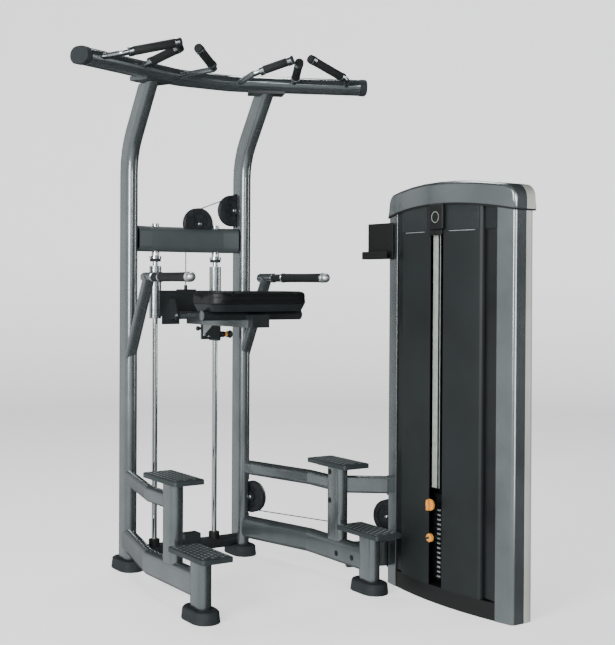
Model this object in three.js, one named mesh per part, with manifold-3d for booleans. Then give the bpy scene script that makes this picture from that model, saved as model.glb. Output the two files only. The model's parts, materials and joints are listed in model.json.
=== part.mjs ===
// Assisted chin-up and dip machine.
// Millimetres, +Z up. X runs across the user's space towards the weight tower, and the user
// stands on the -Y side. The pieces are placed from a point on the floor midway between the two
// uprights, and the whole part is then moved so that its box stands centred on the origin.

import * as THREE from 'three';
import { mergeVertices } from 'three/addons/utils/BufferGeometryUtils.js';
import Module from 'manifold-3d';

// Fits shared by all pieces
const seatGap = 0.3;
const cutOverrun = 8;
const runningGap = 0.5;
const swingGap = 2;

// Frame tube: a flat oval used for the uprights, step posts, lower beams and crossbars
const tubeWidth = 60;
const tubeDepth = 110;
const tubeWall = 3;

// Uprights
const uprightX = 300;
const uprightBendDrop = 334;
const uprightBendRadius = 300;
const uprightLean = 35;

// Boots under the uprights and the step posts
const bootWidth = 115;
const bootLength = 200;
const bootHeight = 50;
const bootFloor = 8;
const bootTaper = 5;

// Pull-up beam: straight in the middle, its wings swept towards the user
const beamHeight = 72;
const beamDepth = 100;
const beamWall = 3;
const beamLevel = 2256;
const beamMiddleY = -178;
const beamBendX = 140;
const beamBendRadius = 250;
const beamSweep = 23.6;
const beamReachX = 696;
const beamCapLength = 34;
const beamCapLip = 2;
const beamPadLength = 165;
const beamPadWidth = 100;
const beamPadThickness = 8;
const beamPadRoot = 12;

// Pull-up handles: arms of round tube with rubber grips
const armDiameter = 27;
const gripDiameter = 38;
const gripRingDiameter = 42;
const gripRingLength = 10;
const gripCapLength = 12;
const gripSpigotDiameter = 22;
const gripSpigotLength = 60;

// Wide grip, nearly in line with the beam
const wideRootInset = 56;
const wideGripInset = 156;
const wideGripY = -516;
const wideGripLift = 19;
const wideGripSpacing = 79.8;
const wideGripTurnAngle = 13;
const wideGripRiseAngle = 14.5;

// Neutral grip, pointing at the user
const neutralRootX = 390;
const neutralGripX = 372;
const neutralGripY = -366;
const neutralGripLift = 16;
const neutralGripReach = 178;
const neutralGripTurnAngle = 64;
const neutralGripRiseAngle = 16.5;

// Close grip, on a longer arm that bends outwards
const closeRootX = 165;
const closeGripX = 119;
const closeGripY = -468;
const closeGripLift = 12;
const closeGripReach = 162;
const closeGripTurnAngle = 143;
const closeGripRiseAngle = 19;

// Middle crossbar, which carries the guide rods and the first pulley
const crossbarBottom = 1467;
const crossbarHeight = 119;
const crossbarDepth = 60;
const crossbarSetback = 10;
const crossbarEndY = -11;
const crossbarBendX = 192;
const crossbarBendRadius = 60;
const cableHoleDiameter = 12;
const cableMouthDepth = 18;

// Base crossbar with its rubber stop
const baseTubeLevel = 68;
const baseTubeDiameter = 60;
const baseStopLength = 85;
const baseStopWidth = 60;
const baseStopHeight = 30;
const baseStopX = 30;

// Guide rods
const rodX = 159.5;
const rodDiameter = 25;
const rodFlareDiameter = 36;
const rodFlareHeight = 20;
const rodCollarDiameter = 56;
const rodCollarHeight = 14;
const rodBufferHeight = 12;
const rodBufferInset = 4;
const rodNutDiameter = 34;
const rodNutHeight = 14;
const rodFootDiameter = 52;
const rodFootHeight = 22;

// Steps
const stepX = 409;
const upperStepY = -679;
const lowerStepY = -922;
const upperTreadTop = 533;
const lowerTreadTop = 268;
const treadWidth = 138;
const treadLength = 300;
const treadThickness = 20;
const treadCorner = 14;
const treadSlotWidth = 17;
const treadSlotLength = 30;
const treadSlotPitchX = 30;
const treadSlotPitchY = 39;
const treadRows = 4;
const treadSlotsPerRow = 7;
const lowerTreadY = -916;
const postPlateWidth = 104;
const postPlateLength = 170;
const postPlateThickness = 6;
const postCope = 12;
const upperBeamLevel = 427;
const upperBeamHeight = 70;
const upperBeamWidth = 46;
const lowerBeamLevel = 137;
const stepBendY = -462;
const stepBendRadius = 40;

// Dip arms and their turning handles
const dipArmDepth = 55;
const dipArmWidth = 38;
const dipRootLevel = 1003;
const dipRootY = -40;
const dipRootX = 304;
const dipRootOverlap = 30;
const dipHubY = -228;
const dipHubLevel = 1347;
const dipHubDiameter = 42;
const dipHubLength = 105;
const dipHubX = 306;
const dipSplay = 3.6;
const dipShaftDiameter = 25;
const dipRingLength = 8;
const dipRingDiameter = 44;
const dipSpacerDiameter = 36;
const dipSpacerLength = 72;
const dipGripDiameter = 40;
const dipGripLength = 290;
const dipBallDiameter = 42;
const dipCapLength = 8;
const dipBallNeckShare = 0.7;

// Pulleys and cable
const cableDiameter = 5;
const cablePulleyGap = 0.7;
const pulleyPitchRadius = 64;
const pulleyDiameter = 152;
const pulleyWidth = 26;
const pulleyRimWidth = 4;
const pulleyHubWidth = 32;
const pulleyHubDiameter = 44;
const pulleyWebRadiusShare = 0.82;
const pulleyWebWidth = 16;
const axleDiameter = 16;
const axleHeadDiameter = 22;
const axleHeadLength = 5;
const pulleyEarThickness = 6;
const pulleyEarWidth = 44;
const lowerEarReach = 95;
const lowerFootSetback = 17.5;
const lowerFootLength = 6.5;
const uprightEarSeat = 14;
const crossbarPulleyRise = 18;
const uprightPulleyRise = 88;
const cableDropX = 317;
const lowerPulleyLevel = 282;
const towerPulleyLevel = 1530;
const cableRiseInset = 29;
const pulleySlotWidth = 38;
const pulleySlotMargin = 6;

// Carriage, which slides on the guide rods
const sleeveDiameter = 57;
const sleeveDrop = 67;
const leftSleeveLength = 245;
const rightSleeveLength = 353;
const carriageDrop = 181;
const carriageHeight = 120;
const carriagePlateY = -30;
const carriagePlateThickness = 12;
const carriageBackY = 34;
const anchorWidth = 70;
const anchorDrop = 175;
const anchorHeight = 62;
const anchorStudDiameter = 16;
const anchorStudHeight = 20;
const carriageLipDrop = 38;
const carriageLipDepth = 20;
const carriageLipStart = -138;
const carriageLipEnd = -55;

// Fold hinge of the knee pad's arm
const hingeY = -72;
const hingeDrop = 295;
const hingeEarX = 90;
const hingeEarThickness = 12;
const hingeEarRadius = 26;
const hingeEarRise = 74;
const hingePinDiameter = 16;
const hingeBarrelDiameter = 40;
const hingeHeadDiameter = 26;
const hingeHeadLength = 7;

// Knee pad's arm
const padArmWidth = 75;
const padArmDrop = 336;
const padArmHeight = 54;
const padArmWall = 3;
const padArmFront = -655;
const padEndWidth = 84;
const padEndLength = 34;
const padEndHeight = 56;
const padBarDiameter = 46;
const padBarY = -612;
const padBarReach = 244;
const lockPlateOuterX = 125;
const lockPlateThickness = 10;
const lockPlateDrop = 411;
const lockPlateDepth = 50;
const lockWebThickness = 8;
const lockReach = 33;

// Knee pad and the tray under it
const padWidth = 474;
const padLength = 226;
const padFront = -706;
const padRise = 116;
const padHeight = 55;
const padCorner = 52;
const padCrown = 7;
const padEdgeRadius = 15;
const padWaist = 5;
const padShoulderInset = 0.33;
const padWaistDrop = 30;
const padSeamDepth = 2;
const padSeamWidth = 5;
const trayHeight = 31.7;
const trayInset = 14;
const trayEdgeInset = 2;
const trayWall = 10;
const padRingPoints = 56;
const padCrownShare = 0.6;
const upperSeamDrop = 16;
const lowerSeamDrop = 28;

// Locking pull pin at the foot of the right sleeve
const pullPinDrop = 390;
const pullPinY = -52;
const pullPinDiameter = 12;
const pullPinTravel = 14;
const pullPinStemDiameter = 22;
const pullPinHousingDiameter = 29;
const pullPinHousingLength = 31;
const pullPinHeadDiameter = 38;
const pullPinHeadLength = 24;
const pullPinHeadEdge = 3;
const pullPinLugDepth = 36;
const pullPinLugWidth = 17;
const pullPinNoseGap = 1.5;

// Weight tower: its two long sides bulge in plan and its cover arches along the top
const towerCentreX = 627;
const towerFarY = -830;
const towerLength = 807;
const towerEndWidth = 108;
const towerBulge = 48;
const towerPostLength = 85;
const towerPostWall = 4;
const towerEdgeHeight = 1618;
const towerArchRise = 37;
const coverBand = 90;
const coverOverlap = 3;
const coverWall = 4;
const coverShoulder = 60;
const towerBaseHeight = 70;
const towerBaseInset = 4;
const shroudRecess = 46.5;
const shroudThickness = 3;
const shroudReturn = 22;
const shroudSlotWidth = 58;
const shroudSlotTop = 1530;
const rearShroudGap = 0.6;
const columnInset = 4.5;
const columnThickness = 28;
const columnDepth = 120;
const topPlateHeight = 60;
const topPlateThickness = 8;
const topPlateSpread = 30;
const topSlotLevel = 1440;
const topTieWidth = 40;
const topTieThickness = 10;

// Weight stack
const plateWidth = 120;
const plateLength = 330;
const platePitch = 19.8;
const plateGroove = 2.4;
const plateGrooveDepth = 5;
const restingPlateCount = 9;
const liftedPlateCount = 6;
const stackBufferHeight = 22;
const stackBufferDiameter = 50;
const headHeight = 56;
const headWidth = 96;
const headLength = 250;
const headStudDiameter = 24;
const headStudHeight = 24;
const stackRodDiameter = 22;
const stackRodSpread = 105;
const stackRodGap = 1.5;
const selectorPinDiameter = 10;
const selectorPinReach = 44;
const selectorKnobDiameter = 35;
const selectorKnobLength = 16;
const selectorKnobFace = 480;
const dialDiameter = 48;
const dialThickness = 14;
const dialShaftDiameter = 14;
const dialLevel = 415;
const dialFace = 481;
const dialTabWidth = 12;

// Links from the right step frame to the tower
const linkWidth = 40;
const upperLinkStartY = -702;
const lowerLinkStartY = -762;
const linkEndX = 603;
const linkFlangeThickness = 8;
const linkFlangeWidth = 52;
const linkCapGap = 0.3;
const linkCorner = 10;
const linkFlangeLip = 6;
const upperLinkLevel = 427.5;
const upperLinkHeight = 75;
const lowerLinkLevel = 125;

// Device holder on the tower's far post
const holderLength = 180;
const holderHeight = 125;
const holderThickness = 7;
const holderTop = 1590;
const holderFarY = -712;
const holderLipDepth = 34;
const holderLipHeight = 34;
const holderBracketHeight = 60;
const holderForward = 28;
const holderPostMargin = 18;
const holderBracketNear = -885;
const holderBracketFar = -845;

// Facets
const roundFacets = 6;
const pipeFacets = 14;
const armFacets = 10;
const cableFacets = 6;
const pulleyFacets = 18;
const towerSteps = 8;
const arcStepDegrees = 10;
const cableStepDegrees = 18;
const armStepDegrees = 25;
const ballSteps = 5;

// Places that several pieces share
const degrees = Math.PI / 180;
const half = (value) => value / 2;
const slidePlaneY = crossbarSetback;
const pulleyRadius = half(pulleyDiameter);
const cableRadius = half(cableDiameter);
const crossbarTop = crossbarBottom + crossbarHeight;
const crossbarLevel = crossbarBottom + half(crossbarHeight);
const baseTubeTop = baseTubeLevel + half(baseTubeDiameter);
const uprightBendHeight = beamLevel - uprightBendDrop;
const wideRootX = beamReachX - wideRootInset;
const wideGripX = beamReachX - wideGripInset;
const spanAcross = (turn, rise) => Math.abs(Math.cos(turn * degrees)) * Math.cos(rise * degrees);
const closeTipX = closeGripX + closeGripReach * spanAcross(closeGripTurnAngle, closeGripRiseAngle);
const wideGripReach = (wideGripX - closeTipX - wideGripSpacing)
  / spanAcross(wideGripTurnAngle, wideGripRiseAngle);
const crossbarPulleyLevel = crossbarTop + crossbarPulleyRise;
const uprightPulleyLevel = crossbarTop + uprightPulleyRise;
const sleeveTop = crossbarBottom - sleeveDrop;
const leftSleeveBottom = sleeveTop - leftSleeveLength;
const rightSleeveBottom = sleeveTop - rightSleeveLength;
const carriageTop = crossbarBottom - carriageDrop;
const carriageBottom = carriageTop - carriageHeight;
const anchorTop = crossbarBottom - anchorDrop;
const hingeLevel = crossbarBottom - hingeDrop;
const padArmBottom = crossbarBottom - padArmDrop;
const lockPlateBottom = crossbarBottom - lockPlateDrop;
const pullPinLevel = crossbarBottom - pullPinDrop;
const padTop = hingeLevel + padRise;
const padBottom = padTop - padHeight;
const padWaistLevel = padTop - padWaistDrop;
const upperSeamLevel = padTop - upperSeamDrop;
const lowerSeamLevel = padTop - lowerSeamDrop;
const trayTop = padBottom - seatGap;
const trayBottom = trayTop - trayHeight;
const towerCentreY = towerFarY - half(towerLength);
const cableRiseY = towerFarY - cableRiseInset;
const shroudHalfLength = half(towerLength) - towerPostLength - shroudRecess;
const columnOuter = half(towerLength) - towerPostLength - columnInset;
const columnInner = columnOuter - columnThickness;

const wasm = await Module();
wasm.setup();

// A closed solid from a geometry, with its shared corners merged and its faces pointing outwards
function solid(geometry) {
  const bare = new THREE.BufferGeometry();
  bare.setAttribute('position', geometry.getAttribute('position').clone());
  if (geometry.index) bare.setIndex(geometry.index.clone());
  const merged = mergeVertices(bare, 1e-3);
  const vertProperties = new Float32Array(merged.getAttribute('position').array);
  const triVerts = new Uint32Array(merged.index.array);
  const shape = new wasm.Manifold(new wasm.Mesh({ numProp: 3, vertProperties, triVerts }));
  if (shape.volume() >= 0) return shape;
  const turned = new Uint32Array(triVerts).reverse();
  return new wasm.Manifold(new wasm.Mesh({ numProp: 3, vertProperties, triVerts: turned }));
}

function geometryOf(shape) {
  const mesh = shape.getMesh();
  const geometry = new THREE.BufferGeometry();
  geometry.setAttribute('position', new THREE.BufferAttribute(new Float32Array(mesh.vertProperties), 3));
  geometry.setIndex(new THREE.BufferAttribute(new Uint32Array(mesh.triVerts), 1));
  geometry.computeVertexNormals();
  return geometry;
}

const join = (...shapes) => shapes.reduce((whole, shape) => whole.add(shape));
const cut = (shape, ...tools) => tools.reduce((left, tool) => left.subtract(tool), shape);

// Boxes between two corners, and round bars between two points
function box(low, high) {
  const size = high.map((value, axis) => value - low[axis]);
  const geometry = new THREE.BoxGeometry(...size);
  geometry.translate(...low.map((value, axis) => value + half(size[axis])));
  return solid(geometry);
}

function between(geometry, from, to) {
  const start = new THREE.Vector3(...from);
  const along = new THREE.Vector3(...to).sub(start);
  const turn = new THREE.Quaternion().setFromUnitVectors(new THREE.Vector3(0, 0, 1),
    along.clone().normalize());
  geometry.applyQuaternion(turn);
  geometry.translate(start.x, start.y, start.z);
  return geometry;
}

const distance = (from, to) => Math.hypot(...from.map((value, axis) => to[axis] - value));

function bar(from, to, diameter, facets = pipeFacets) {
  const length = distance(from, to);
  const geometry = new THREE.CylinderGeometry(half(diameter), half(diameter), length, facets);
  geometry.rotateX(half(Math.PI));
  geometry.translate(0, 0, half(length));
  return solid(between(geometry, from, to));
}

// A turned piece: its profile is a list of [radius, distance along the axis]
function turned(profile, from, to, facets = pipeFacets) {
  const points = profile.map(([radius, along]) => new THREE.Vector2(radius, along));
  const geometry = new THREE.LatheGeometry(points, facets);
  geometry.rotateX(half(Math.PI));
  return solid(between(geometry, from, to));
}

// Sections: a flat oval with round ends, and a rectangle with round corners
function ovalPath(path, width, depth) {
  const radius = half(Math.min(width, depth));
  const slackX = half(width) - radius;
  const slackY = half(depth) - radius;
  const upright = depth >= width;
  const start = upright ? 0 : half(Math.PI) * 3;
  path.absarc(slackX, slackY, radius, start, start + Math.PI, false);
  path.absarc(-slackX, -slackY, radius, start + Math.PI, start + Math.PI * 2, false);
  path.closePath();
  return path;
}

function oval(width, depth, wall = 0) {
  const shape = ovalPath(new THREE.Shape(), width, depth);
  if (wall > 0) shape.holes.push(ovalPath(new THREE.Path(), width - wall * 2, depth - wall * 2));
  return shape;
}

function roundedRectangle(width, depth, corner) {
  const shape = new THREE.Shape();
  const x = half(width) - corner;
  const y = half(depth) - corner;
  shape.absarc(x, y, corner, 0, half(Math.PI), false);
  shape.absarc(-x, y, corner, half(Math.PI), Math.PI, false);
  shape.absarc(-x, -y, corner, Math.PI, half(Math.PI) * 3, false);
  shape.absarc(x, -y, corner, half(Math.PI) * 3, Math.PI * 2, false);
  shape.closePath();
  return shape;
}

function raised(shape, bottom, top, facets = roundFacets) {
  const geometry = new THREE.ExtrudeGeometry(shape, { depth: top - bottom, bevelEnabled: false,
    curveSegments: half(facets) });
  geometry.translate(0, 0, bottom);
  return solid(geometry);
}

// A path whose stations lie only where the shape needs them
class StationCurve extends THREE.Curve {
  constructor(stations) {
    super();
    this.stations = stations;
  }
  station(share) {
    return this.stations[Math.round(share * (this.stations.length - 1))];
  }
  getPoint(share, target = new THREE.Vector3()) {
    return target.copy(this.station(share).point);
  }
  getPointAt(share, target = new THREE.Vector3()) {
    return this.getPoint(share, target);
  }
  getTangent(share, target = new THREE.Vector3()) {
    return target.copy(this.station(share).tangent);
  }
  getTangentAt(share, target = new THREE.Vector3()) {
    return this.getTangent(share, target);
  }
}

// Stations along straight runs whose corners are rounded to a bend radius
function bentPath(corners, bendRadius, stepDegrees = arcStepDegrees) {
  const points = corners.map((corner) => new THREE.Vector3(...corner));
  const stations = [];
  const heading = (index) => points[index + 1].clone().sub(points[index]).normalize();
  stations.push({ point: points[0], tangent: heading(0) });
  for (let index = 1; index < points.length - 1; index += 1) {
    const before = heading(index - 1);
    const after = heading(index);
    const angle = before.angleTo(after);
    const setback = bendRadius * Math.tan(half(angle));
    const start = points[index].clone().addScaledVector(before, -setback);
    const axis = before.clone().cross(after).normalize();
    const inward = axis.clone().cross(before);
    const centre = start.clone().addScaledVector(inward, bendRadius);
    const steps = Math.max(1, Math.ceil(angle / (stepDegrees * degrees)));
    for (let step = 0; step <= steps; step += 1) {
      const turn = new THREE.Quaternion().setFromAxisAngle(axis, angle * step / steps);
      const arm = start.clone().sub(centre).applyQuaternion(turn);
      stations.push({ point: centre.clone().add(arm), tangent: before.clone().applyQuaternion(turn) });
    }
  }
  stations.push({ point: points[points.length - 1], tangent: heading(points.length - 2) });
  return stations;
}

function swept(section, stations, facets = roundFacets) {
  const options = { steps: stations.length - 1, bevelEnabled: false, curveSegments: half(facets) };
  options.extrudePath = new StationCurve(stations);
  return solid(new THREE.ExtrudeGeometry(section, options));
}

function roundTube(diameter, stations, facets = pipeFacets) {
  const circle = new THREE.Shape();
  circle.absarc(0, 0, half(diameter), 0, Math.PI * 2, false);
  return swept(circle, stations, facets);
}

// Materials
const finish = (color, roughness, metalness) => new THREE.MeshStandardMaterial({ color, roughness,
  metalness });
const framePaint = finish(0x7d8384, 0.35, 0.6);
const darkPaint = finish(0x2b3132, 0.45, 0.4);
const blackPaint = finish(0x121516, 0.5, 0.3);
const shroudPaint = finish(0x33393a, 0.55, 0.2);
const boot = finish(0x1f2628, 0.85, 0);
const gripRubber = finish(0x2a3030, 0.8, 0);
const vinyl = finish(0x0b0d0e, 0.45, 0);
const chrome = finish(0xd8dcde, 0.12, 1);
const steel = finish(0x8c9296, 0.35, 1);
const nylon = finish(0x1b2022, 0.5, 0);
const treadAlloy = finish(0x4a5254, 0.5, 0.7);
const orangePlastic = finish(0xe8a040, 0.4, 0);

const part = new THREE.Group();

function add(name, shape, material) {
  const mesh = new THREE.Mesh(geometryOf(shape), material);
  mesh.name = name;
  part.add(mesh);
  return mesh;
}

const sides = [['left', -1], ['right', 1]];

// Uprights, boots and beam
const uprightTop = beamLevel - half(beamHeight) - beamPadThickness - seatGap;
const leanSlope = Math.tan(uprightLean * degrees);
const uprightFoot = bootFloor + seatGap;

// Pulley planes: the lower run heads from the cable's drop in the right upright to its rise in the tower
const cableDrop = [cableDropX, slidePlaneY];
const cableRise = [towerCentreX, cableRiseY];
const runLength = Math.hypot(cableRise[0] - cableDrop[0], cableRise[1] - cableDrop[1]);
const runHeading = [(cableRise[0] - cableDrop[0]) / runLength, (cableRise[1] - cableDrop[1]) / runLength];
const runNormal = [-runHeading[1], runHeading[0]];
const alongRun = (start, length) => start.map((value, axis) => value + runHeading[axis] * length);
const crossbarPulley = [pulleyPitchRadius, slidePlaneY, crossbarPulleyLevel];
const uprightPulley = [cableDropX - pulleyPitchRadius, slidePlaneY, uprightPulleyLevel];
const lowerPulley = [...alongRun(cableDrop, pulleyPitchRadius), lowerPulleyLevel];
const baseTowerPulley = [...alongRun(cableRise, -pulleyPitchRadius), lowerPulleyLevel];
const farTopPulley = [towerCentreX, cableRiseY - pulleyPitchRadius, towerPulleyLevel];
const nearTopPulley = [towerCentreX, towerCentreY + pulleyPitchRadius, towerPulleyLevel];

// A slot that clears a pulley: a box turned to the pulley's plane
function pulleySlot(centre, heading, reach = pulleyRadius) {
  const length = (reach + pulleySlotMargin) * 2;
  const height = (pulleyRadius + pulleySlotMargin) * 2;
  const geometry = new THREE.BoxGeometry(length, pulleySlotWidth, height);
  geometry.rotateZ(Math.atan2(heading[1], heading[0]));
  geometry.translate(...centre);
  return solid(geometry);
}

// An ear behind a pulley and the axle that the pulley turns on; back points away from the viewer's side
function pulleyMount(centre, back, root, rootHeight) {
  const side = (offset) => centre.map((value, axis) => value + (axis < 2 ? back[axis] * offset : 0));
  const earStart = half(pulleyHubWidth) + runningGap;
  const axle = bar(side(-half(pulleyHubWidth) - runningGap - half(axleHeadLength)),
    side(earStart + pulleyEarThickness), axleDiameter);
  const head = bar(side(-half(pulleyHubWidth) - runningGap - axleHeadLength),
    side(-half(pulleyHubWidth) - runningGap), axleHeadDiameter);
  const ear = new THREE.BoxGeometry(distance(centre, root) + half(pulleyEarWidth), pulleyEarThickness,
    rootHeight);
  ear.translate(half(distance(centre, root)) - half(half(pulleyEarWidth)), 0, 0);
  ear.rotateZ(Math.atan2(root[1] - centre[1], root[0] - centre[0]));
  ear.translate(...side(earStart + half(pulleyEarThickness)));
  return join(axle, head, solid(ear));
}

function upright(side) {
  const x = side * uprightX;
  const climb = uprightTop - uprightBendHeight + tubeDepth;
  const corners = [[x, 0, uprightFoot], [x, 0, uprightBendHeight],
    [x, -climb * leanSlope, uprightBendHeight + climb]];
  const tube = swept(oval(tubeDepth, tubeWidth, tubeWall), bentPath(corners, uprightBendRadius));
  const above = box([x - tubeDepth, -tubeDepth * cutOverrun, uprightTop],
    [x + tubeDepth, tubeDepth, uprightTop + tubeDepth * 2]);
  return cut(tube, above);
}

add('upright_left', upright(-1), framePaint);

const uprightEar = pulleyMount(uprightPulley, [0, 1], [uprightX - half(tubeWidth) + uprightEarSeat,
  slidePlaneY, uprightPulleyLevel], pulleyEarWidth);
const lowerBack = [...alongRun(cableDrop, pulleyPitchRadius - lowerEarReach), lowerPulleyLevel];
const lowerEar = pulleyMount(lowerPulley, runNormal, lowerBack, pulleyEarWidth);
const lowerFootY = slidePlaneY + lowerFootSetback;
const lowerFoot = box([uprightX, lowerFootY, lowerPulleyLevel - half(pulleyEarWidth)],
  [cableDropX + half(pulleyHubWidth), lowerFootY + lowerFootLength, lowerPulleyLevel + half(pulleyEarWidth)]);
const slottedUpright = cut(upright(1), pulleySlot(uprightPulley, [1, 0]), pulleySlot(lowerPulley,
  runHeading));
add('upright_right', join(slottedUpright, uprightEar, lowerEar, lowerFoot), framePaint);

// Boots: oblong rubber cups with a pocket for the tube
function bootAt(x, y) {
  const outline = oval(bootWidth, bootLength);
  const geometry = new THREE.ExtrudeGeometry(outline, { depth: bootHeight, bevelEnabled: false,
    curveSegments: half(roundFacets) });
  const position = geometry.getAttribute('position');
  for (let index = 0; index < position.count; index += 1) {
    if (position.getZ(index) < half(bootHeight)) continue;
    position.setX(index, position.getX(index) * (1 - bootTaper / half(bootWidth)));
    position.setY(index, position.getY(index) * (1 - bootTaper / half(bootLength)));
  }
  const pocket = raised(oval(tubeWidth + seatGap * 2, tubeDepth + seatGap * 2), bootFloor,
    bootHeight + cutOverrun);
  return cut(solid(geometry), pocket).translate([x, y, 0]);
}

const baseTubeRoom = bar([-uprightX, slidePlaneY, baseTubeLevel], [uprightX, slidePlaneY, baseTubeLevel],
  baseTubeDiameter + seatGap * 2);

for (const [name, side] of sides) {
  add(`upright_boot_${name}`, cut(bootAt(side * uprightX, 0), baseTubeRoom), boot);
  add(`step_boot_${name}`, bootAt(side * stepX, lowerStepY), boot);
}

// Pull-up beam
const sweepSlope = Math.tan(beamSweep * degrees);
const beamY = (x) => beamMiddleY - sweepSlope * (Math.abs(x) - beamBendX);
const beamPoint = (x) => [x, Math.abs(x) > beamBendX ? beamY(x) : beamMiddleY, beamLevel];

function gripHeading(turn, rise, side) {
  const flat = Math.cos(rise * degrees);
  return [-side * Math.cos(turn * degrees) * flat, -Math.sin(turn * degrees) * flat,
    Math.sin(rise * degrees)];
}

const gripTable = [
  ['wide', wideRootX, wideGripX, wideGripY, wideGripLift, wideGripReach, wideGripTurnAngle,
    wideGripRiseAngle],
  ['neutral', neutralRootX, neutralGripX, neutralGripY, neutralGripLift, neutralGripReach,
    neutralGripTurnAngle,
    neutralGripRiseAngle],
  ['close', closeRootX, closeGripX, closeGripY, closeGripLift, closeGripReach, closeGripTurnAngle,
    closeGripRiseAngle],
];

const beyond = (start, heading, length) => start.map((value, axis) => value + heading[axis] * length);

function gripArm([, rootX, gripX, gripY, lift, , turn, rise], side) {
  const heading = gripHeading(turn, rise, side);
  const root = beamPoint(side * rootX);
  const start = [side * gripX, gripY, beamLevel + lift];
  const corner = beyond(start, heading, -armDiameter);
  const arm = roundTube(armDiameter, bentPath([root, corner, start], armDiameter, armStepDegrees),
    armFacets);
  return join(arm, bar(beyond(start, heading, -armDiameter), beyond(start, heading, gripSpigotLength),
    gripSpigotDiameter, armFacets));
}

const beamCorners = [beamPoint(-beamReachX), [-beamBendX, beamMiddleY, beamLevel], [beamBendX,
  beamMiddleY, beamLevel],
  beamPoint(beamReachX)];
const beamStations = bentPath(beamCorners, beamBendRadius);
const beamHollow = swept(oval(beamHeight - beamWall * 2, beamDepth - beamWall * 2), beamStations);
const beamArms = sides.flatMap(([, side]) => gripTable.map((row) => cut(gripArm(row, side), beamHollow)));
const beamPads = sides.map(([, side]) => {
  const pad = new THREE.BoxGeometry(beamPadLength, beamPadWidth, beamPadThickness + beamPadRoot);
  pad.rotateZ(-side * beamSweep * degrees);
  const padY = half(beamY(uprightX) + -(uprightTop - uprightBendHeight) * leanSlope);
  pad.translate(side * uprightX, padY, uprightTop + seatGap + half(beamPadThickness + beamPadRoot));
  return cut(solid(pad), beamHollow);
});
const beamTube = swept(oval(beamHeight, beamDepth, beamWall), beamStations);
add('pullup_beam', join(beamTube, ...beamPads, ...beamArms), framePaint);

for (const [name, side] of sides) {
  const end = beamPoint(side * beamReachX);
  const heading = [side * Math.cos(beamSweep * degrees), -Math.sin(beamSweep * degrees), 0];
  const stations = [seatGap, beamCapLength].map((length) => ({
    point: new THREE.Vector3(...beyond(end, heading, length)), tangent: new THREE.Vector3(...heading),
  }));
  add(`beam_cap_${name}`, swept(oval(beamHeight + beamCapLip * 2, beamDepth + beamCapLip * 2), stations),
    gripRubber);
}

// Grips: a rubber sleeve between two collars, closed by an end cap
function gripProfile(reach) {
  const bore = half(gripSpigotDiameter) + seatGap;
  const ring = half(gripRingDiameter);
  const sleeve = half(gripDiameter);
  const capStart = reach - gripCapLength;
  return [[0, gripSpigotLength + seatGap], [bore, gripSpigotLength + seatGap], [bore, seatGap], [ring,
    seatGap],
    [ring, gripRingLength], [sleeve, gripRingLength], [sleeve, capStart - gripRingLength],
    [ring, capStart - gripRingLength], [ring, capStart], [sleeve, capStart], [half(sleeve + bore),
      reach], [0, reach]];
}

for (const [name, side] of sides) {
  for (const [grip, , gripX, gripY, lift, reach, turn, rise] of gripTable) {
    const heading = gripHeading(turn, rise, side);
    const start = [side * gripX, gripY, beamLevel + lift];
    add(`${grip}_grip_${name}`, turned(gripProfile(reach), start, beyond(start, heading, reach)),
      gripRubber);
  }
}

// Middle crossbar between the uprights, set back where it carries the guide rods
const crossbarEnd = uprightX - half(tubeWidth) - seatGap;
const crossbarCorners = [[-crossbarEnd, crossbarEndY, crossbarLevel], [-crossbarBendX, slidePlaneY,
  crossbarLevel],
  [crossbarBendX, slidePlaneY, crossbarLevel], [crossbarEnd, crossbarEndY, crossbarLevel]];
const crossbarTube = swept(oval(crossbarHeight, crossbarDepth, tubeWall),
  bentPath(crossbarCorners, crossbarBendRadius));
const endTrims = sides.map(([, side]) => {
  const inner = side * crossbarEnd;
  const outer = side * (crossbarEnd + tubeDepth);
  return box([Math.min(inner, outer), -tubeDepth, crossbarBottom - cutOverrun],
    [Math.max(inner, outer), tubeDepth, crossbarTop + cutOverrun]);
});
const rodHoles = sides.map(([, side]) => bar([side * rodX, slidePlaneY, crossbarBottom - cutOverrun],
  [side * rodX, slidePlaneY, crossbarTop + cutOverrun], rodDiameter + seatGap * 2));
const cableHole = bar([0, slidePlaneY, crossbarBottom - cutOverrun], [0, slidePlaneY, crossbarLevel],
  cableHoleDiameter);
const cableMouth = box([-half(cableHoleDiameter), slidePlaneY - half(pulleySlotWidth),
  crossbarTop - cableMouthDepth],
  [crossbarPulley[0], slidePlaneY + half(pulleySlotWidth), crossbarTop + cutOverrun]);
const crossbarMount = pulleyMount(crossbarPulley, [0, 1],
  [crossbarPulley[0], slidePlaneY, crossbarPulleyLevel], half(pulleyEarWidth));
const earFoot = half(pulleyHubWidth) + runningGap;
const crossbarEar = box([crossbarPulley[0] - half(pulleyEarWidth), slidePlaneY + earFoot, crossbarLevel],
  [crossbarPulley[0] + half(pulleyEarWidth), slidePlaneY + earFoot + pulleyEarThickness,
    crossbarPulleyLevel + half(pulleyEarWidth)]);
const crossbarSlot = box([crossbarPulley[0] - pulleyRadius - pulleySlotMargin,
  slidePlaneY - half(pulleySlotWidth),
  crossbarLevel], [crossbarPulley[0] + pulleyRadius + pulleySlotMargin, slidePlaneY + earFoot,
  crossbarTop + cutOverrun]);
const crossbarShell = cut(crossbarTube, ...endTrims, ...rodHoles, cableHole, crossbarSlot, cableMouth);
add('mid_crossbar', join(crossbarShell, crossbarEar, crossbarMount), framePaint);

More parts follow.
